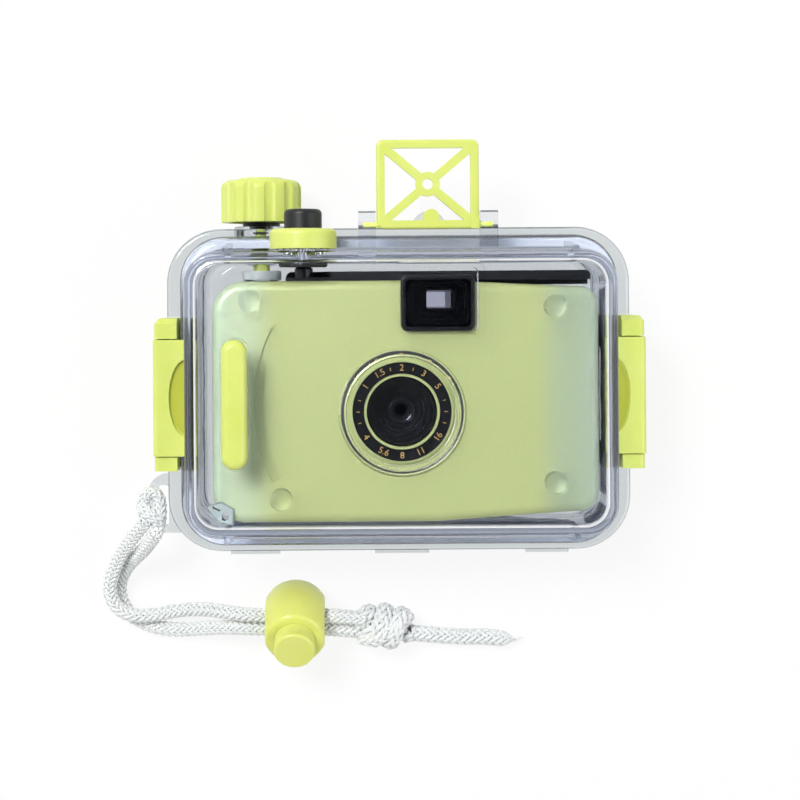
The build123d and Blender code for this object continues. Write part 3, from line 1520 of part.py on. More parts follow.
pieces = {
    "front_shell": front_shell(),
    "rear_shell": rear_shell(),
    "seal_ring": seal_ring(),
    "grip_bar": grip_bar(),
    "latch_right_lever": latch_lever(),
    "latch_right_base": latch_base(),
    "latch_right_pin": latch_pin(),
    "latch_left_lever": mirrored(latch_lever()),
    "latch_left_base": mirrored(latch_base()),
    "latch_left_pin": mirrored(latch_pin()),
    "sight_frame": sight_frame(),
    "wind_knob": wind_knob(),
    "wind_shaft": wind_shaft(),
    "wind_clip": wind_clip(),
    "wind_gland_ring": wind_gland_ring(),
    "wind_washer": wind_washer(),
    "wind_drive_fork": wind_drive_fork(),
    "shutter_collar": shutter_collar(),
    "shutter_cap": shutter_cap(),
    "shutter_plunger": shutter_plunger(),
    "shutter_foot": shutter_foot(),
    "shutter_seal": shutter_seal(),
    "shutter_spring": shutter_spring(),
    "camera_front_cover": camera_front_cover(),
    "camera_body": camera_body(),
    "camera_back_door": camera_back_door(),
    "camera_top": camera_top(),
    "viewfinder_bezel": viewfinder_bezel(),
    "viewfinder_front_lens": viewfinder_front_lens(),
    "viewfinder_eye_lens": viewfinder_eye_lens(),
    "camera_strap_eye": camera_strap_eye(),
    "lens_ring": lens_ring(),
    "lens_barrel": lens_barrel(),
    "lens_front_element": lens_front_element(),
    "aperture_plate": aperture_plate(),
    "lens_rear_element": lens_rear_element(),
    "shutter_blade": shutter_blade(),
    "wind_wheel": wind_wheel(),
    "take_up_spool": take_up_spool(),
    "sprocket_shaft": sprocket_shaft(),
    "rewind_knob": rewind_knob(),
    "rewind_fork": rewind_fork(),
    "film_counter": film_counter(),
    "release_button": release_button(),
    "pressure_plate": pressure_plate(),
    "pressure_spring": pressure_spring(),
    "cord_hitch": cord_hitch(),
    "cord_strand_a": cord_tube(strand_a_route, cord_diameter),
    "cord_strand_b": cord_tube(strand_b_route, cord_diameter),
    "cord_knot": cord_knot(),
    "cord_tail": cord_tube(tail_route, tail_diameter),
    "cord_lock_body": cord_lock_body(),
    "cord_lock_button": cord_lock_button(),
    "cord_lock_spring": cord_lock_spring(),
}

os.makedirs("parts", exist_ok=True)
for name, piece in pieces.items():
    export_step(piece, f"parts/{name}.step")
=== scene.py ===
# Underwater camera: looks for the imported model, in metres, in the model's own frame.
# Each section makes one piece, or a group of like pieces, in the order of assembly.

from math import cos, pi, radians, sin

import bpy
from mathutils import Matrix, Vector


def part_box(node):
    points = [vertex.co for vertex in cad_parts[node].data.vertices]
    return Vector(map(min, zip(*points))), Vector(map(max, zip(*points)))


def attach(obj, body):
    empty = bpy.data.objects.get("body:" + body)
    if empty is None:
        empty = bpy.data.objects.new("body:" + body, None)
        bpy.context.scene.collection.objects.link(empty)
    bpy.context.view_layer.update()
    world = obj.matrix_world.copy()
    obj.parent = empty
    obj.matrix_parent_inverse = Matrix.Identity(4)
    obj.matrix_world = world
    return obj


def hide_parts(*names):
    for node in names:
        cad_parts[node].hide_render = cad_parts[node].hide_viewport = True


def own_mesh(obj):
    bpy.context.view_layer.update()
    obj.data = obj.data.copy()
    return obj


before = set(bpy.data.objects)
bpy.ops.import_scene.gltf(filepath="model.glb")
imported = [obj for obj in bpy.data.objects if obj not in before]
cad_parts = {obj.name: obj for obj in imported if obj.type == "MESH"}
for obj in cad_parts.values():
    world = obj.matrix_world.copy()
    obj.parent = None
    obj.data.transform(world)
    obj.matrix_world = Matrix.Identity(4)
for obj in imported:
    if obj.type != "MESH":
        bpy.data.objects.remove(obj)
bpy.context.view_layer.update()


# The photographer's stand. The object lies on its back on a white table and is seen from straight
# above. The picture is a cut from a wider one, so its middle is beside the optical axis. Places
# in the picture are in its pixels.
lens_place = (-0.0148, 0.0288, 0.500)
stand_turn = radians(-0.4)
pixels_per_radian = 1644.0
picture_side = 800.0
axis_across, axis_down = 347.0, 290.0
sensor_width = 36.0
nearest_seen, farthest_seen = 0.01, 20.0

photographer_lens = bpy.data.cameras.new("photographer")
photographer_lens.sensor_width = sensor_width
photographer_lens.lens = sensor_width * pixels_per_radian / picture_side
photographer_lens.shift_x = 0.5 - axis_across / picture_side
photographer_lens.shift_y = axis_down / picture_side - 0.5
photographer_lens.clip_start = nearest_seen
photographer_lens.clip_end = farthest_seen
photographer = bpy.data.objects.new("photographer", photographer_lens)
photographer.location = lens_place
photographer.rotation_euler = (0.0, 0.0, stand_turn)
bpy.context.scene.collection.objects.link(photographer)
bpy.context.scene.camera = photographer
bpy.context.scene.view_settings.view_transform = "Standard"


def linear(code):
    """A hex sRGB colour as the linear numbers that shaders take."""
    channels = [int(code[i:i + 2], 16) / 255.0 for i in (1, 3, 5)]
    return [c / 12.92 if c <= 0.04045 else ((c + 0.055) / 1.055) ** 2.4 for c in channels] + [1.0]


def add(owner, kind, settings=None, **wires):
    """Adds one node. settings sets its properties. Each wire is an input's value or its link, and
    goes by the input's name, or by its number where inputs share a name."""
    node = owner.node_tree.nodes.new(kind)
    for name, value in (settings or {}).items():
        setattr(node, name, value)
    for name, value in wires.items():
        socket = node.inputs[int(name[1:]) if name[0] == "_" else name.replace("_", " ")]
        if isinstance(value, bpy.types.NodeSocket):
            owner.node_tree.links.new(value, socket)
        else:
            socket.default_value = value
    return node


def finish(name, surface_of):
    """A new material. surface_of builds its nodes and returns the surface, or a pair of surface
    and volume."""
    material = bpy.data.materials.new(name)
    material.use_nodes = True
    material.node_tree.nodes.clear()
    made = surface_of(material)
    shaders = made if isinstance(made, tuple) else (made,)
    output = add(material, "ShaderNodeOutputMaterial")
    for shader, socket in zip(shaders, ("Surface", "Volume")):
        material.node_tree.links.new(shader, output.inputs[socket])
    return material


def dress(material, *names):
    """Gives CAD nodes a material."""
    for name in names:
        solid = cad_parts[name]
        solid.data.materials.clear()
        solid.data.materials.append(material)


def tone_ramp(owner, share, tones):
    """A colour ramp with a stop at every place that tones names."""
    ramp = add(owner, "ShaderNodeValToRGB", Fac=share)
    stops = ramp.color_ramp.elements
    first, *between, last = sorted(tones)
    for stop, place in zip(stops, (first, last)):
        stop.position = place
        stop.color = linear(tones[place])
    for place in between:
        stops.new(place).color = linear(tones[place])
    return ramp


# The table: a sheet of white paper that runs out of the picture. It is lit as paper is, and seen
# as the overexposed white of the photograph, with only the faint shadows left.
table_half = 3.0
table_height = -0.0002
overexposed = 0.88


def white_paper(m):
    """Matt coated paper with a faint fibre cloud."""
    place = add(m, "ShaderNodeTexCoord").outputs["Object"]
    fibres = add(m, "ShaderNodeTexNoise", Vector=place, Scale=900.0, Detail=3.0).outputs["Fac"]
    tone = add(m, "ShaderNodeMix", {"data_type": "RGBA"}, _0=fibres, _6=linear("#f4f4f2"),
               _7=linear("#fbfbfa")).outputs[2]
    paper = add(m, "ShaderNodeBsdfDiffuse", Color=tone, Roughness=0.6)
    glow = add(m, "ShaderNodeEmission", Color=linear("#ffffff"), Strength=1.0)
    light = add(m, "ShaderNodeLightPath")
    seen = add(m, "ShaderNodeMath", {"operation": "MAXIMUM"}, _0=light.outputs["Is Camera Ray"],
               _1=light.outputs["Is Glossy Ray"]).outputs[0]
    share = add(m, "ShaderNodeMath", {"operation": "MULTIPLY"}, _0=seen, _1=overexposed)
    return add(m, "ShaderNodeMixShader", _0=share.outputs[0], _1=paper.outputs[0],
               _2=glow.outputs[0]).outputs[0]


table_corners = [(-table_half, -table_half), (table_half, -table_half),
                 (table_half, table_half), (-table_half, table_half)]
table_mesh = bpy.data.meshes.new("table_paper")
table_mesh.from_pydata([(x, y, table_height) for x, y in table_corners], [], [(0, 1, 2, 3)])
table_mesh.materials.append(finish("white_coated_paper", white_paper))
table = bpy.data.objects.new("table_paper", table_mesh)
bpy.context.scene.collection.objects.link(table)


# The studio: one softbox up to the left, which throws the grip's shadow to the lower right, a wide
# weaker one on the right, and white walls round a dark ceiling, so that black stays black.
lit_middle = Vector((0.0, 0.0, 0.02))
room_tones = {0.55: "#f2f4f6", 0.9: "#7d8288", 0.985: "#17191d"}
walls_strength, mirrored_strength, backdrop_strength = 0.55, 0.95, 1.0


def softbox(name, place, watts, across, along):
    """One rectangular lamp turned to the object."""
    data = bpy.data.lights.new(name, "AREA")
    data.energy = watts
    data.shape = "RECTANGLE"
    data.size = across
    data.size_y = along
    light = bpy.data.objects.new(name, data)
    light.location = place
    light.rotation_mode = "QUATERNION"
    light.rotation_quaternion = (lit_middle - Vector(place)).to_track_quat("-Z", "Y")
    bpy.context.scene.collection.objects.link(light)


softbox("softbox_upper_left", place=(-0.45, 0.45, 1.0), watts=10.6, across=0.38, along=0.38)
softbox("softbox_right", place=(0.85, -0.25, 0.75), watts=4.0, across=0.7, along=0.9)

room = bpy.data.worlds.new("white_room")
room.use_nodes = True
room.node_tree.nodes.clear()
heading = add(room, "ShaderNodeTexCoord").outputs["Generated"]
height = add(room, "ShaderNodeSeparateXYZ", Vector=heading).outputs["Z"]
walls = tone_ramp(room, height, room_tones).outputs["Color"]
walls_light = add(room, "ShaderNodeBackground", Color=walls, Strength=walls_strength)
walls_seen = add(room, "ShaderNodeBackground", Color=walls, Strength=mirrored_strength)
backdrop = add(room, "ShaderNodeBackground", Color=linear("#ffffff"), Strength=backdrop_strength)
ray = add(room, "ShaderNodeLightPath")
mirrored = add(room, "ShaderNodeMixShader", _0=ray.outputs["Is Glossy Ray"],
               _1=walls_light.outputs[0], _2=walls_seen.outputs[0])
room_light = add(room, "ShaderNodeMixShader", _0=ray.outputs["Is Camera Ray"],
                 _1=mirrored.outputs[0], _2=backdrop.outputs[0])
add(room, "ShaderNodeOutputWorld", Surface=room_light.outputs[0])
bpy.context.scene.world = room


# The camera inside, body first: film box, door and top moulded in black ABS with a satin skin. The
# plates, blade, wheels, shafts and knobs that are fixed to the box or move in it are the same.
millimetre = 0.001
gloss_swing = 0.07


def moulded(m, deep, pale, rough, grain, depth, **resin):
    """Moulded plastic: slow shades of flow, and the fine skin of the tool in relief and gloss.
    grain and depth are the skin's size and height in millimetres."""
    place = add(m, "ShaderNodeTexCoord").outputs["Object"]
    flow = add(m, "ShaderNodeTexNoise", Vector=place, Scale=70.0, Detail=3.0).outputs["Fac"]
    shade = add(m, "ShaderNodeMix", {"data_type": "RGBA"}, _0=flow, _6=linear(deep),
                _7=linear(pale)).outputs[2]
    skin = add(m, "ShaderNodeTexNoise", Vector=place, Scale=1 / (grain * millimetre), Detail=4.0)
    gloss = add(m, "ShaderNodeMapRange", Value=skin.outputs["Fac"],
                To_Min=rough - gloss_swing, To_Max=rough + gloss_swing).outputs[0]
    relief = add(m, "ShaderNodeBump", Height=skin.outputs["Fac"], Strength=0.08,
                 Distance=depth * millimetre).outputs[0]
    return add(m, "ShaderNodeBsdfPrincipled", Base_Color=shade, Roughness=gloss, Normal=relief,
               **resin).outputs[0]


def satin_black_abs(m):
    """Black ABS from a spark-eroded tool: deep satin black with a sheen on the edges."""
    return moulded(m, "#090b0e", "#14171b", rough=0.3, grain=0.45, depth=0.03, IOR=1.54)


camera_black = finish("satin_black_abs", satin_black_abs)
dress(camera_black, "camera_body", "camera_back_door", "camera_top", "shutter_blade", "wind_wheel",
      "take_up_spool", "sprocket_shaft", "rewind_knob", "rewind_fork", "release_button",
      "pressure_plate", "aperture_plate")


# Film counter: a pale disc that turns in the camera's top. It is printed all over in one tone,
# and its figures, which can't be seen from outside, are left off.
def counter_card(m):
    """White styrene under one flat coat of screen ink: nearly even in tone."""
    return moulded(m, "#d9d9d2", "#ecece6", rough=0.45, grain=0.3, depth=0.01, IOR=1.59)


dress(finish("printed_white_styrene", counter_card), "film_counter")


# Steel parts of both mechanisms: springs, pins, plunger and retaining clip. Drawn stainless wire
# and rod, so the fine lines run along the metal and the shine is drawn out.
def drawn_stainless(m):
    """Drawn stainless steel: bright, with fine draw marks and slightly uneven shine."""
    place = add(m, "ShaderNodeTexCoord").outputs["Object"]
    lines = add(m, "ShaderNodeMapping", Vector=place, Scale=(4000.0, 300.0, 4000.0)).outputs[0]
    marks = add(m, "ShaderNodeTexNoise", Vector=lines, Scale=1.0, Detail=2.0).outputs["Fac"]
    tone = add(m, "ShaderNodeMix", {"data_type": "RGBA"}, _0=marks, _6=linear("#9fa4a8"),
               _7=linear("#c6cacd")).outputs[2]
    gloss = add(m, "ShaderNodeMapRange", Value=marks, To_Min=0.18, To_Max=0.38).outputs[0]
    relief = add(m, "ShaderNodeBump", Height=marks, Strength=0.2, Distance=0.00002).outputs[0]
    return add(m, "ShaderNodeBsdfPrincipled", Base_Color=tone, Roughness=gloss, Normal=relief,
               Metallic=1.0).outputs[0]


stainless = finish("drawn_stainless_steel", drawn_stainless)
dress(stainless, "latch_right_pin", "latch_left_pin", "wind_clip", "shutter_plunger",
      "pressure_spring")


# Springs of the two buttons: round stainless wire, with three quarters of a dead turn at each end.
# They are pressed together as their button goes down.
wire_sides = 10
steps_a_turn = 40
dead_turn = 0.75


def coil_spring(name, node, axis, length, radius, wire, turns):
    """Winds a spring in the place of its CAD node. turns counts the live ones."""
    low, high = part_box(node)
    along = Vector(axis).normalized()
    across = along.orthogonal().normalized()
    third = along.cross(across)
    foot = (low + high) / 2 - along * length / 2
    whole = turns + 2 * dead_turn
    count = round(whole * steps_a_turn)
    corners, faces = [], []
    for index in range(count + 1):
        wound = whole * index / count
        climbed = min(1.0, max(0.0, (wound - dead_turn) / turns))
        height = wire / 2 + (length - wire) * climbed
        out = across * cos(2 * pi * wound) + third * sin(2 * pi * wound)
        middle = foot + out * radius + along * height
        for side in range(wire_sides):
            angle = 2 * pi * side / wire_sides
            corners.append(middle + (out * cos(angle) + along * sin(angle)) * wire / 2)
    for index in range(count):
        for side in range(wire_sides):
            a = index * wire_sides + side
            b = index * wire_sides + (side + 1) % wire_sides
            faces.append([a, b, b + wire_sides, a + wire_sides])
    faces.append(list(range(wire_sides))[::-1])
    faces.append([count * wire_sides + side for side in range(wire_sides)])
    mesh = bpy.data.meshes.new(name)
    mesh.from_pydata(corners, [], faces)
    mesh.materials.append(stainless)
    for face in mesh.polygons:
        face.use_smooth = len(face.vertices) == 4
    spring = bpy.data.objects.new(name, mesh)
    bpy.context.scene.collection.objects.link(spring)
    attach(spring, "housing")
    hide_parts(node)
    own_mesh(spring)


coil_spring("shutter_spring_coil", "shutter_spring", axis=(0.0, 1.0, 0.0), length=0.0054,
            radius=0.0032, wire=0.0006, turns=2)
coil_spring("lock_spring_coil", "cord_lock_spring", axis=(0.0, -0.45399, 0.89101), length=0.0035,
            radius=0.0036, wire=0.0006, turns=1)


# The lens and the viewfinder: black barrel and funnel with fine steps, and glass with a coating
# that turns light violet. The barrel sits in the cover's collar behind a black ring.
def coated_glass(m):
    """Coated optical glass: dark from inside the barrel, with a violet edge to its reflections."""
    edge = add(m, "ShaderNodeLayerWeight", Blend=0.35).outputs["Facing"]
    coat = add(m, "ShaderNodeMix", {"data_type": "RGBA"}, _0=edge, _6=linear("#f3f2f8"),
               _7=linear("#a99fce")).outputs[2]
    place = add(m, "ShaderNodeTexCoord").outputs["Object"]
    dust = add(m, "ShaderNodeTexNoise", Vector=place, Scale=2500.0, Detail=2.0).outputs["Fac"]
    gloss = add(m, "ShaderNodeMapRange", Value=dust, To_Min=0.0, To_Max=0.04).outputs[0]
    return add(m, "ShaderNodeBsdfPrincipled", Base_Color=coat, Roughness=gloss, IOR=1.52,
               Transmission_Weight=1.0).outputs[0]


dress(finish("coated_optical_glass", coated_glass), "lens_front_element", "lens_rear_element",
      "viewfinder_front_lens", "viewfinder_eye_lens")


def barrel_black(m):
    """Glass-filled black resin, moulded in fine steps: satin, so the steps read as thin lines."""
    return moulded(m, "#060809", "#0d1012", rough=0.3, grain=0.35, depth=0.02, IOR=1.5)


dress(finish("satin_black_lens_resin", barrel_black), "lens_barrel", "viewfinder_bezel")


# Ring round the lens: near-black, with plain gold figures and ticks of the kind found on any
# lens. They are printed, so they lie a few hundredths of a millimetre above the ring. Turns are
# in degrees.
ring_centre = (0.0002, -0.0050)
ring_print_height = 0.04394
ring_print_radius = 0.01215
ring_figure_size = 0.0025
ring_figures = {145: "1", 120: "1.5", 90: "2", 60: "3", 35: "5", 215: "4", 245: "5.6", 270: "8",
                295: "11", 325: "16"}
ring_tick_wide, ring_tick_long = 0.00022, 0.0009
ring_tick_every = 15
ring_tick_clears_figure = 13


def ring_black(m):
    """Black ring with a fine circular turning."""
    place = add(m, "ShaderNodeTexCoord").outputs["Object"]
    centred = add(m, "ShaderNodeMapping", Vector=place,
                  Location=(-ring_centre[0], -ring_centre[1], 0.0)).outputs[0]
    turning = add(m, "ShaderNodeTexWave", {"wave_type": "RINGS", "rings_direction": "Z"},
                  Vector=centred, Scale=900.0, Distortion=0.3).outputs["Fac"]
    cloud = add(m, "ShaderNodeTexNoise", Vector=place, Scale=400.0).outputs["Fac"]
    tone = add(m, "ShaderNodeMix", {"data_type": "RGBA"}, _0=cloud, _6=linear("#07080a"),
               _7=linear("#101216")).outputs[2]
    relief = add(m, "ShaderNodeBump", Height=turning, Strength=0.15, Distance=0.00003).outputs[0]
    return add(m, "ShaderNodeBsdfPrincipled", Base_Color=tone, Roughness=0.28, IOR=1.5,
               Normal=relief).outputs[0]


def gold_print(m):
    """Gold screen print: metallic ink, broken by the weave of the screen."""
    place = add(m, "ShaderNodeTexCoord").outputs["Object"]
    screen = add(m, "ShaderNodeTexNoise", Vector=place, Scale=3000.0).outputs["Fac"]
    tone = add(m, "ShaderNodeMix", {"data_type": "RGBA"}, _0=screen, _6=linear("#a98648"),
               _7=linear("#d9b56c")).outputs[2]
    return add(m, "ShaderNodeBsdfPrincipled", Base_Color=tone, Roughness=0.42,
               Metallic=0.25).outputs[0]


dress(finish("turned_black_ring", ring_black), "lens_ring")
gold_ink = finish("gold_screen_print", gold_print)


def printed_marks():
    """Figures round the ring as flat faces, and ticks where there is room between them."""
    corners, faces = [], []
    for turn in range(0, 360, ring_tick_every):
        if any(abs(turn - figure) < ring_tick_clears_figure for figure in ring_figures):
            continue
        out = Vector((cos(radians(turn)), sin(radians(turn)), 0.0))
        side = Vector((-out.y, out.x, 0.0)) * ring_tick_wide / 2
        middle = Vector((*ring_centre, ring_print_height)) + out * ring_print_radius
        reach = out * ring_tick_long / 2
        first = len(corners)
        corners += [middle - side - reach, middle + side - reach, middle + side + reach,
                    middle - side + reach]
        faces.append([first, first + 1, first + 2, first + 3])
    for turn, figure in ring_figures.items():
        text = bpy.data.curves.new("figure", "FONT")
        text.body = figure
        text.size = ring_figure_size
        text.align_x = "CENTER"
        text.align_y = "CENTER"
        holder = bpy.data.objects.new("figure", text)
        shape = bpy.data.meshes.new_from_object(holder)
        upright = turn - 90 if turn < 180 else turn + 90
        spin = Matrix.Rotation(radians(upright), 4, "Z")
        out = Vector((cos(radians(turn)), sin(radians(turn)), 0.0)) * ring_print_radius
        lift = Matrix.Translation(Vector((*ring_centre, ring_print_height)) + out)
        first = len(corners)
        corners += [lift @ spin @ vertex.co for vertex in shape.vertices]
        faces += [[first + index for index in face.vertices] for face in shape.polygons]
        bpy.data.objects.remove(holder)
    return corners, faces


print_mesh = bpy.data.meshes.new("lens_ring_print")
print_corners, print_faces = printed_marks()
print_mesh.from_pydata(print_corners, [], print_faces)
print_mesh.materials.append(gold_ink)
lens_ring_print = bpy.data.objects.new("lens_ring_print", print_mesh)
bpy.context.scene.collection.objects.link(lens_ring_print)
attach(lens_ring_print, "housing")


# Pale front cover of the camera: thin moulding with a satin metallic lacquer, green-white at both
# rounded ends and yellow-green between. The yellow-green is a painted reflection of the yellow
# fittings round it, put into the lacquer's colour.
cover_from, cover_to = -0.0527, 0.0552
cover_painted_reflection_tones = {0.0: "#b4c5a4", 0.08: "#b6c39c", 0.18: "#afb779",
               0.82: "#afb779", 0.92: "#a1ae8a", 1.0: "#a1af98"}


def satin_lacquer(m):
    """Sprayed satin lacquer: painted-reflection gradient, tiny flakes, spray dust in the gloss."""
    place = add(m, "ShaderNodeTexCoord").outputs["Object"]
    across = add(m, "ShaderNodeSeparateXYZ", Vector=place).outputs["X"]
    share = add(m, "ShaderNodeMapRange", Value=across, From_Min=cover_from, From_Max=cover_to)
    # Painted reflection: the ramp across the cover tints its middle yellow-green, as the fittings
    # mirror.
    ramp = tone_ramp(m, share.outputs[0], cover_painted_reflection_tones)
    ramp.color_ramp.interpolation = "EASE"
    flakes = add(m, "ShaderNodeTexVoronoi", Vector=place, Scale=5200.0).outputs["Color"]
    flake_tone = add(m, "ShaderNodeMix", {"data_type": "RGBA", "blend_type": "SOFT_LIGHT"},
                     _0=0.16, _6=ramp.outputs["Color"], _7=flakes).outputs[2]
    dust = add(m, "ShaderNodeTexNoise", Vector=place, Scale=1600.0, Detail=3.0).outputs["Fac"]
    gloss = add(m, "ShaderNodeMapRange", Value=dust, To_Min=0.30, To_Max=0.48).outputs[0]
    relief = add(m, "ShaderNodeBump", Height=dust, Strength=0.2, Distance=0.00003).outputs[0]
    return add(m, "ShaderNodeBsdfPrincipled", Base_Color=flake_tone, Roughness=gloss,
               Metallic=0.15, Normal=relief).outputs[0]


dress(finish("satin_green_lacquer", satin_lacquer), "camera_front_cover")


# Strap eye in the cover's lower left corner: a small moulding of its own in grey-green ABS,
# without the cover's lacquer.
def eye_grey(m):
    """Grey-green moulded ABS with a soft sheen."""
    return moulded(m, "#98a5a1", "#aeb9b4", rough=0.36, grain=0.4, depth=0.02, IOR=1.54)


dress(finish("grey_green_abs", eye_grey), "camera_strap_eye")


# Silicone and rubber. The seal between the shells is milky silicone that light enters. The knob's
# gland ring and washer and the button's cap, seal and foot are matt black, with mould dust.
def milky_silicone(m):
    """Milky silicone: light goes a little way in, with a soft waxy gloss."""
    return moulded(m, "#d7dde2", "#eef1f3", rough=0.42, grain=0.6, depth=0.01, IOR=1.41,
                   Subsurface_Weight=0.3, Subsurface_Radius=(1.0, 1.0, 1.0),
                   Subsurface_Scale=0.001)


def matt_rubber(m):
    """Black nitrile rubber: half matt, with pale specks of moulding dust."""
    place = add(m, "ShaderNodeTexCoord").outputs["Object"]
    cells = add(m, "ShaderNodeTexVoronoi", Vector=place, Scale=2100.0).outputs["Distance"]
    specks = add(m, "ShaderNodeMapRange", Value=cells, From_Min=0.0, From_Max=0.16, To_Min=1.0,
                 To_Max=0.0).outputs[0]
    tone = add(m, "ShaderNodeMix", {"data_type": "RGBA"}, _0=specks, _6=linear("#07090a"),
               _7=linear("#3a3f42")).outputs[2]
    skin = add(m, "ShaderNodeTexNoise", Vector=place, Scale=2600.0, Detail=3.0).outputs["Fac"]
    relief = add(m, "ShaderNodeBump", Height=skin, Strength=0.4, Distance=0.00004).outputs[0]
    gloss = add(m, "ShaderNodeMapRange", Value=skin, To_Min=0.34, To_Max=0.55).outputs[0]
    return add(m, "ShaderNodeBsdfPrincipled", Base_Color=tone, Roughness=gloss, IOR=1.52,
               Normal=relief).outputs[0]


dress(finish("milky_silicone", milky_silicone), "seal_ring")
dress(finish("matt_nitrile_rubber", matt_rubber), "shutter_cap", "wind_gland_ring", "wind_washer",
      "shutter_seal", "shutter_foot")


# The two shells of the housing: thick clear polycarbonate, polished in the tool. Thick parts and
# edges show a lavender grey of their own, and light passes straight through them to the camera.
front_depth_loss = 9.0
rear_depth_loss = 26.0
trapped_after_bounces = 5.0


def polycarbonate(m, surface_tint, depth_tint, depth_loss):
    """Polished polycarbonate: a slight orange peel bends reflections, faint rubs catch light.
    Light that is trapped in a wall leaves it again, so that edges don't turn black."""
    place = add(m, "ShaderNodeTexCoord").outputs["Object"]
    peel = add(m, "ShaderNodeTexNoise", Vector=place, Scale=110.0, Detail=2.0).outputs["Fac"]
    relief = add(m, "ShaderNodeBump", Height=peel, Strength=0.12, Distance=0.0004).outputs[0]
    rub = add(m, "ShaderNodeMapping", Vector=place, Scale=(300.0, 2600.0, 300.0)).outputs[0]
    scratches = add(m, "ShaderNodeTexNoise", Vector=rub, Scale=1.0, Detail=4.0).outputs["Fac"]
    gloss = add(m, "ShaderNodeMapRange", Value=scratches, From_Min=0.55, From_Max=0.9,
                To_Min=0.0, To_Max=0.16)
    resin = add(m, "ShaderNodeBsdfPrincipled", Base_Color=linear(surface_tint),
                Roughness=gloss.outputs[0], IOR=1.585, Transmission_Weight=1.0, Normal=relief)
    straight = add(m, "ShaderNodeBsdfTransparent", Color=linear("#e9ebf1"))
    light = add(m, "ShaderNodeLightPath")
    trapped = add(m, "ShaderNodeMath", {"operation": "GREATER_THAN"},
                  _0=light.outputs["Ray Depth"], _1=trapped_after_bounces).outputs[0]
    passing = add(m, "ShaderNodeMath", {"operation": "MAXIMUM"},
                  _0=light.outputs["Is Shadow Ray"], _1=trapped).outputs[0]
    surface = add(m, "ShaderNodeMixShader", _0=passing, _1=resin.outputs[0],
                  _2=straight.outputs[0])
    depth = add(m, "ShaderNodeVolumeAbsorption", Color=linear(depth_tint), Density=depth_loss)
    return surface.outputs[0], depth.outputs[0]


def front_polycarbonate(m):
    """The front shell, water clear."""
    return polycarbonate(m, "#fbfcfe", "#c4c8d8", front_depth_loss)


def rear_polycarbonate(m):
    """The rear shell with the rim: the same resin, greyer where one looks into its edge."""
    return polycarbonate(m, "#e6eaeb", "#b7bfc4", rear_depth_loss)


dress(finish("water_clear_polycarbonate", front_polycarbonate), "front_shell")
dress(finish("grey_clear_polycarbonate", rear_polycarbonate), "rear_shell")


# Yellow fittings: grip, latch bases with their blocks, winding knob with its shaft, button collar
# and sight. Light enters the lemon ABS a little, which lifts the shaded sides and warms the edges.
def lemon_abs(m):
    """Lemon-yellow translucent ABS: glowing edges, greener in the shade, satin skin."""
    return moulded(m, "#d3df66", "#e2eb84", rough=0.34, grain=0.5, depth=0.02, IOR=1.54,
                   Subsurface_Weight=0.35, Subsurface_Radius=(1.0, 0.9, 0.15),
                   Subsurface_Scale=0.002)


lemon = finish("lemon_translucent_abs", lemon_abs)
dress(lemon, "grip_bar", "latch_right_base", "latch_left_base", "sight_frame", "wind_knob",
      "wind_shaft", "shutter_collar")


# Latch levers: the same ABS, deeper in colour in the oval thumb recess. That is painted shade: the
# recess is darkened in the base colour, as if it lay in shadow.
recess_middle = (0.0610, -0.0017, 0.03085)
recess_reach = (0.0048, 0.0109, 0.0006)


def painted_recess_shade_abs(m):
    """Lemon ABS with painted shade: a darker yellow inside the thumb recess of either lever."""
    resin = lemon_abs(m).node
    place = add(m, "ShaderNodeTexCoord").outputs["Object"]
    parts = add(m, "ShaderNodeSeparateXYZ", Vector=place)
    outward = add(m, "ShaderNodeMath", {"operation": "ABSOLUTE"}, _0=parts.outputs["X"])
    either = add(m, "ShaderNodeCombineXYZ", X=outward.outputs[0], Y=parts.outputs["Y"],
                 Z=parts.outputs["Z"]).outputs[0]
    from_middle = add(m, "ShaderNodeVectorMath", {"operation": "SUBTRACT"}, _0=either,
                      _1=recess_middle).outputs[0]
    shares = add(m, "ShaderNodeVectorMath", {"operation": "DIVIDE"}, _0=from_middle,
                 _1=recess_reach).outputs[0]
    reach = add(m, "ShaderNodeVectorMath", {"operation": "LENGTH"}, _0=shares).outputs["Value"]
    # Painted shade: full inside the recess's oval, fading out at its rim.
    painted_shade_share = add(m, "ShaderNodeMapRange", Value=reach, From_Min=0.9, From_Max=1.05, To_Min=0.8,
                 To_Max=0.0).outputs[0]
    skin = resin.inputs["Base Color"].links[0].from_socket
    painted_shade_tone = add(m, "ShaderNodeMix", {"data_type": "RGBA"}, _0=painted_shade_share, _6=skin,
                 _7=linear("#b9bd2c")).outputs[2]
    m.node_tree.links.new(painted_shade_tone, resin.inputs["Base Color"])
    return resin.outputs[0]


dress(finish("lemon_abs_with_painted_recess_shade", painted_recess_shade_abs), "latch_right_lever",
      "latch_left_lever")


# Fork of the winding shaft inside the housing, which turns the camera's winding wheel. It is of
# unpigmented nylon, milky where it is thick.
def natural_nylon(m):
    """Natural nylon: milky, softly lit from inside."""
    return moulded(m, "#c4cbc4", "#dfe3da", rough=0.4, grain=0.5, depth=0.02, IOR=1.53,
                   Subsurface_Weight=0.4, Subsurface_Radius=(1.0, 1.0, 0.9),
                   Subsurface_Scale=0.002)


dress(finish("natural_nylon", natural_nylon), "wind_drive_fork")


# Cord lock: barrel and push button of a brighter yellow ABS than the fittings, a little less
# green and a little glossier.
def lock_yellow(m):
    """Bright yellow translucent ABS with a satin gloss."""
    return moulded(m, "#dfe56c", "#ebef8a", rough=0.3, grain=0.6, depth=0.02, IOR=1.54,
                   Subsurface_Weight=0.35, Subsurface_Radius=(1.0, 0.9, 0.12),
                   Subsurface_Scale=0.002)


dress(finish("bright_yellow_abs", lock_yellow), "cord_lock_body", "cord_lock_button")


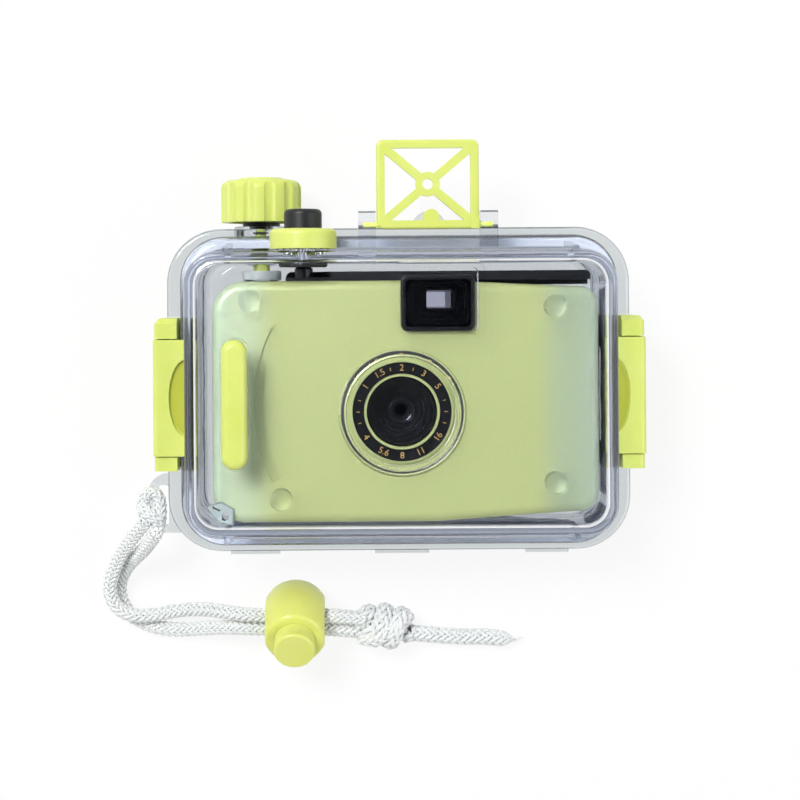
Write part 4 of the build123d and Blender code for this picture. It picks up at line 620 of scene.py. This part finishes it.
# The wrist cord: white polypropylene, braided of sixteen flat yarns. Both strands run from the
# hitch at the housing's lug through the lock to the knot, and one tail leaves the knot. Their
# routes are in millimetres.
route_steps = 20
strand_thick = 0.0045
tail_thick = 0.0052
braid_pitch = 3.4
yarns_each_way = 8
yarn_half_thick = 0.17
yarn_wave = 0.13
yarn_cover = 0.93
yarn_section = [(-1.0, -0.3), (-0.62, 0.75), (0.0, 1.0), (0.62, 0.75), (1.0, -0.3), (0.0, -0.8)]
point_thin = 0.08
point_curve = 1.6
braid_step = 0.00042
strand_a_route = [(-73.6, -37.8, 24.2), (-77.6, -42.6, 19.8), (-81.6, -47.8, 14.0),
                  (-84.9, -53.7, 9.6), (-87.0, -60.2, 7.2), (-84.9, -65.9, 6.9),
                  (-79.8, -68.6, 6.8), (-73.0, -68.6, 4.8), (-65.0, -67.4, 2.5),
                  (-57.4, -66.8, 5.4), (-50.4, -67.0, 10.2), (-43.0, -67.5, 13.0),
                  (-18.9, -67.5, 13.0), (-10.6, -69.4, 9.0)]
strand_b_route = [(-70.6, -41.4, 24.4), (-74.2, -46.4, 18.2), (-78.7, -50.6, 10.0),
                  (-82.6, -55.4, 4.6), (-84.7, -61.2, 2.3), (-82.8, -67.4, 2.3),
                  (-77.4, -71.6, 2.3), (-69.6, -73.7, 2.3), (-61.4, -73.4, 2.7),
                  (-52.8, -72.2, 6.2), (-43.0, -71.7, 10.85), (-18.9, -71.7, 10.85),
                  (-11.6, -73.6, 6.6)]
tail_route = [(3.2, -74.4, 4.9), (10.6, -75.6, 2.8), (18.8, -76.3, 2.65), (27.2, -76.2, 2.65),
              (35.4, -77.3, 2.65)]


def add_route(curve, route):
    """Adds a smooth spline with the route's points as its control points."""
    spline = curve.splines.new("NURBS")
    spline.points.add(len(route) - 1)
    for point, place in zip(spline.points, route):
        point.co = (*(number * millimetre for number in place), 1.0)
    spline.order_u = 3
    spline.use_endpoint_u = True


def line_of(route):
    """The points of a route's spline."""
    curve = bpy.data.curves.new("route", "CURVE")
    curve.dimensions = "3D"
    curve.resolution_u = route_steps
    add_route(curve, route)
    holder = bpy.data.objects.new("route", curve)
    bpy.context.scene.collection.objects.link(holder)
    read = bpy.data.meshes.new_from_object(holder)
    points = [vertex.co.copy() for vertex in read.vertices]
    bpy.data.objects.remove(holder)
    return points


def evenly(points, step):
    """The line's points at even steps, and its length."""
    spans = [(b - a).length for a, b in zip(points, points[1:])]
    length = sum(spans)
    count = max(8, round(length / step))
    even, done, span = [], 0.0, 0
    for index in range(count + 1):
        along = length * index / count
        while span < len(spans) - 1 and done + spans[span] < along:
            done += spans[span]
            span += 1
        even.append(points[span].lerp(points[span + 1], min(1.0, (along - done) / spans[span])))
    return even, length


def braid(name, points, thick, material, point_from=1.0):
    """A tube braid along the points: flat yarns both ways, over two and under two. From
    point_from, a share of its length, it narrows to a point. A yarn's half thickness and wave
    are shares of the radius, and the pitch counts thicknesses of the cord."""
    centre, length = evenly(points, braid_step)
    radius = thick / 2
    heading = (centre[1] - centre[0]).normalized()
    side = heading.orthogonal().normalized()
    corners, faces = [], []
    rings = []
    for index, middle in enumerate(centre):
        after = centre[min(index + 1, len(centre) - 1)]
        before = centre[max(index - 1, 0)]
        heading = (after - before).normalized()
        side = (side - heading * side.dot(heading)).normalized()
        rings.append((middle, side.copy(), heading.cross(side)))
    half_thick = radius * yarn_half_thick
    wave = radius * yarn_wave
    middle_radius = radius - half_thick - wave
    half_angle = pi / yarns_each_way * yarn_cover
    for way in (1, -1):
        for yarn in range(yarns_each_way):
            first = len(corners)
            for index, (middle, right, up) in enumerate(rings):
                share = index / (len(rings) - 1)
                narrow = 1.0
                if share > point_from:
                    into_point = (share - point_from) / (1.0 - point_from)
                    narrow = max(point_thin, 1.0 - into_point ** point_curve)
                turned = 2 * pi * share * length / (thick * braid_pitch)
                place = 2 * pi * yarn / yarns_each_way + way * turned
                swing = yarns_each_way * turned / 2 + way * (pi * yarn - pi / 4)
                lift = middle_radius + way * wave * cos(swing)
                for across, out in yarn_section:
                    angle = place + across * half_angle
                    reach = (lift + out * half_thick) * narrow
                    corners.append(middle + (right * cos(angle) + up * sin(angle)) * reach)
            size = len(yarn_section)
            for index in range(len(rings) - 1):
                for corner in range(size):
                    a = first + index * size + corner
                    b = first + index * size + (corner + 1) % size
                    faces.append([a, b, b + size, a + size])
            last = first + (len(rings) - 1) * size
            faces.append([first + corner for corner in range(size)][::-1])
            faces.append([last + corner for corner in range(size)])
    mesh = bpy.data.meshes.new(name)
    mesh.from_pydata(corners, [], faces)
    mesh.materials.append(material)
    for face in mesh.polygons:
        face.use_smooth = True
    piece = bpy.data.objects.new(name, mesh)
    bpy.context.scene.collection.objects.link(piece)
    return piece, length


def white_polypropylene(m):
    """White polypropylene yarn: fine filaments, slightly blue-grey where the yarns dive."""
    place = add(m, "ShaderNodeTexCoord").outputs["Object"]
    threads = add(m, "ShaderNodeTexNoise", Vector=place, Scale=3800.0, Detail=3.0).outputs["Fac"]
    dirt = add(m, "ShaderNodeTexNoise", Vector=place, Scale=90.0, Detail=2.0).outputs["Fac"]
    clean = add(m, "ShaderNodeMix", {"data_type": "RGBA"}, _0=dirt, _6=linear("#f1f4f3"),
                _7=linear("#f8faf9")).outputs[2]
    relief = add(m, "ShaderNodeBump", Height=threads, Strength=0.25, Distance=0.00005).outputs[0]
    return add(m, "ShaderNodeBsdfPrincipled", Base_Color=clean, Roughness=0.55, IOR=1.49,
               Subsurface_Weight=0.25, Subsurface_Radius=(1.0, 1.0, 1.0), Subsurface_Scale=0.0012,
               Sheen_Weight=0.3, Normal=relief).outputs[0]


cord_white = finish("braided_white_polypropylene", white_polypropylene)


# Hitch at the lug: both strands come up through the slot, and their bight is pulled over them and
# tight round the bar. It is made of short arcs of the same braid.
hitch_arcs = [
    [(-73.8, -39.0, 23.4), (-74.3, -34.6, 23.6), (-74.4, -30.8, 23.8), (-72.0, -29.2, 23.6),
     (-69.6, -30.8, 23.6), (-69.4, -35.6, 23.4), (-69.9, -40.0, 23.2), (-71.0, -41.8, 23.4),
     (-72.2, -43.4, 21.8)],
    [(-74.6, -33.6, 23.2), (-73.9, -34.4, 24.9), (-72.0, -35.8, 25.4), (-69.9, -37.2, 24.8),
     (-69.4, -38.2, 23.2), (-71.0, -37.4, 22.9), (-73.4, -35.4, 22.9), (-74.6, -33.6, 23.2)]]
hitch_thick = 0.0042
for index, arc in enumerate(hitch_arcs):
    bend, _ = braid("cord_hitch_bend_%d" % (index + 1), line_of(arc), hitch_thick, cord_white)
    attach(bend, "housing")
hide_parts("cord_hitch")


# Knot: an overhand knot in both strands together, pulled hard, so its turns lie side by side on
# the core that they squeeze, and the last one crosses over them.
knot_turns = [(-12.0, -71.5, 7.4), (-10.4, -68.6, 8.6), (-8.6, -68.0, 5.6), (-8.6, -70.0, 3.2),
              (-8.2, -74.2, 3.0), (-7.4, -76.2, 6.0), (-6.4, -74.6, 9.4), (-5.0, -70.0, 9.7),
              (-4.0, -67.4, 6.4), (-4.0, -69.0, 3.0), (-3.6, -75.0, 2.9), (-2.8, -77.0, 6.0),
              (-1.8, -75.0, 9.5), (-0.4, -70.4, 9.7), (0.8, -68.4, 6.4), (1.2, -70.6, 3.2),
              (1.8, -74.6, 3.2), (2.6, -75.0, 5.4), (3.2, -74.4, 5.0)]
knot_cross = [(-10.8, -75.2, 6.4), (-9.0, -76.0, 8.2), (-5.0, -74.4, 9.8), (-1.0, -71.6, 9.8),
              (2.0, -69.6, 8.0), (2.4, -69.4, 5.8)]
knot_core = [(-11.6, -71.8, 6.4), (-8.0, -72.4, 6.2), (-3.0, -72.6, 6.0), (1.4, -73.4, 5.6)]
knot_thick = 0.0058
crossing_thick = 0.0050
core_thick = 0.0074
knot, _ = braid("cord_knot_turns", line_of(knot_turns), knot_thick, cord_white)
crossing, _ = braid("cord_knot_crossing", line_of(knot_cross), crossing_thick, cord_white)
core, _ = braid("cord_knot_core", line_of(knot_core), core_thick, cord_white)
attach(knot, "housing")
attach(crossing, "housing")
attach(core, "housing")
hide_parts("cord_knot")


# The two strands and the tail, each one free cord of its full length. The strands end in the
# knot, and the tail's end is bare and drawn to a point.
tail_point_from = 0.86
for name, route, thick, end, point_from in (
        ("strand_a", strand_a_route, strand_thick, "knot", 1.0),
        ("strand_b", strand_b_route, strand_thick, "knot", 1.0),
        ("tail", tail_route, tail_thick, "bare", tail_point_from)):
    line = line_of(route)
    strand, strand_length = braid("cord_" + name + "_braid", line, thick, cord_white, point_from)
    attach(strand, "housing")
    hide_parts("cord_" + name)


# Frayed tip of the tail: a few loose filaments that the cut has freed, spread a little. They are
# round fibres of the same polypropylene, far thinner than a yarn. Places are in millimetres.
tip = (34.6, -77.2, 2.5)
filament_ends = [(37.9, -76.9, 1.5), (37.2, -76.5, 2.3), (36.9, -77.5, 1.2), (37.4, -77.2, 2.6),
                 (36.6, -76.3, 1.4), (36.4, -77.9, 2.0), (37.7, -77.3, 1.9)]
filament_spread = 0.45
filament_thick = 0.00016
filament_curve = bpy.data.curves.new("cord_tail_filaments", "CURVE")
filament_curve.dimensions = "3D"
filament_curve.bevel_depth = filament_thick / 2
filament_curve.bevel_resolution = 2
for index, end in enumerate(filament_ends):
    turn = 2 * pi * index / len(filament_ends)
    root = (tip[0], tip[1] + filament_spread * cos(turn), tip[2] + filament_spread * sin(turn))
    bend = [(root[axis] + end[axis]) / 2 for axis in range(3)]
    bend[2] += filament_spread * sin(2 * turn)
    add_route(filament_curve, (root, bend, end))
filament_curve.materials.append(cord_white)
filaments = bpy.data.objects.new("cord_tail_filaments", filament_curve)
bpy.context.scene.collection.objects.link(filaments)
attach(filaments, "housing")


bpy.context.view_layer.update()
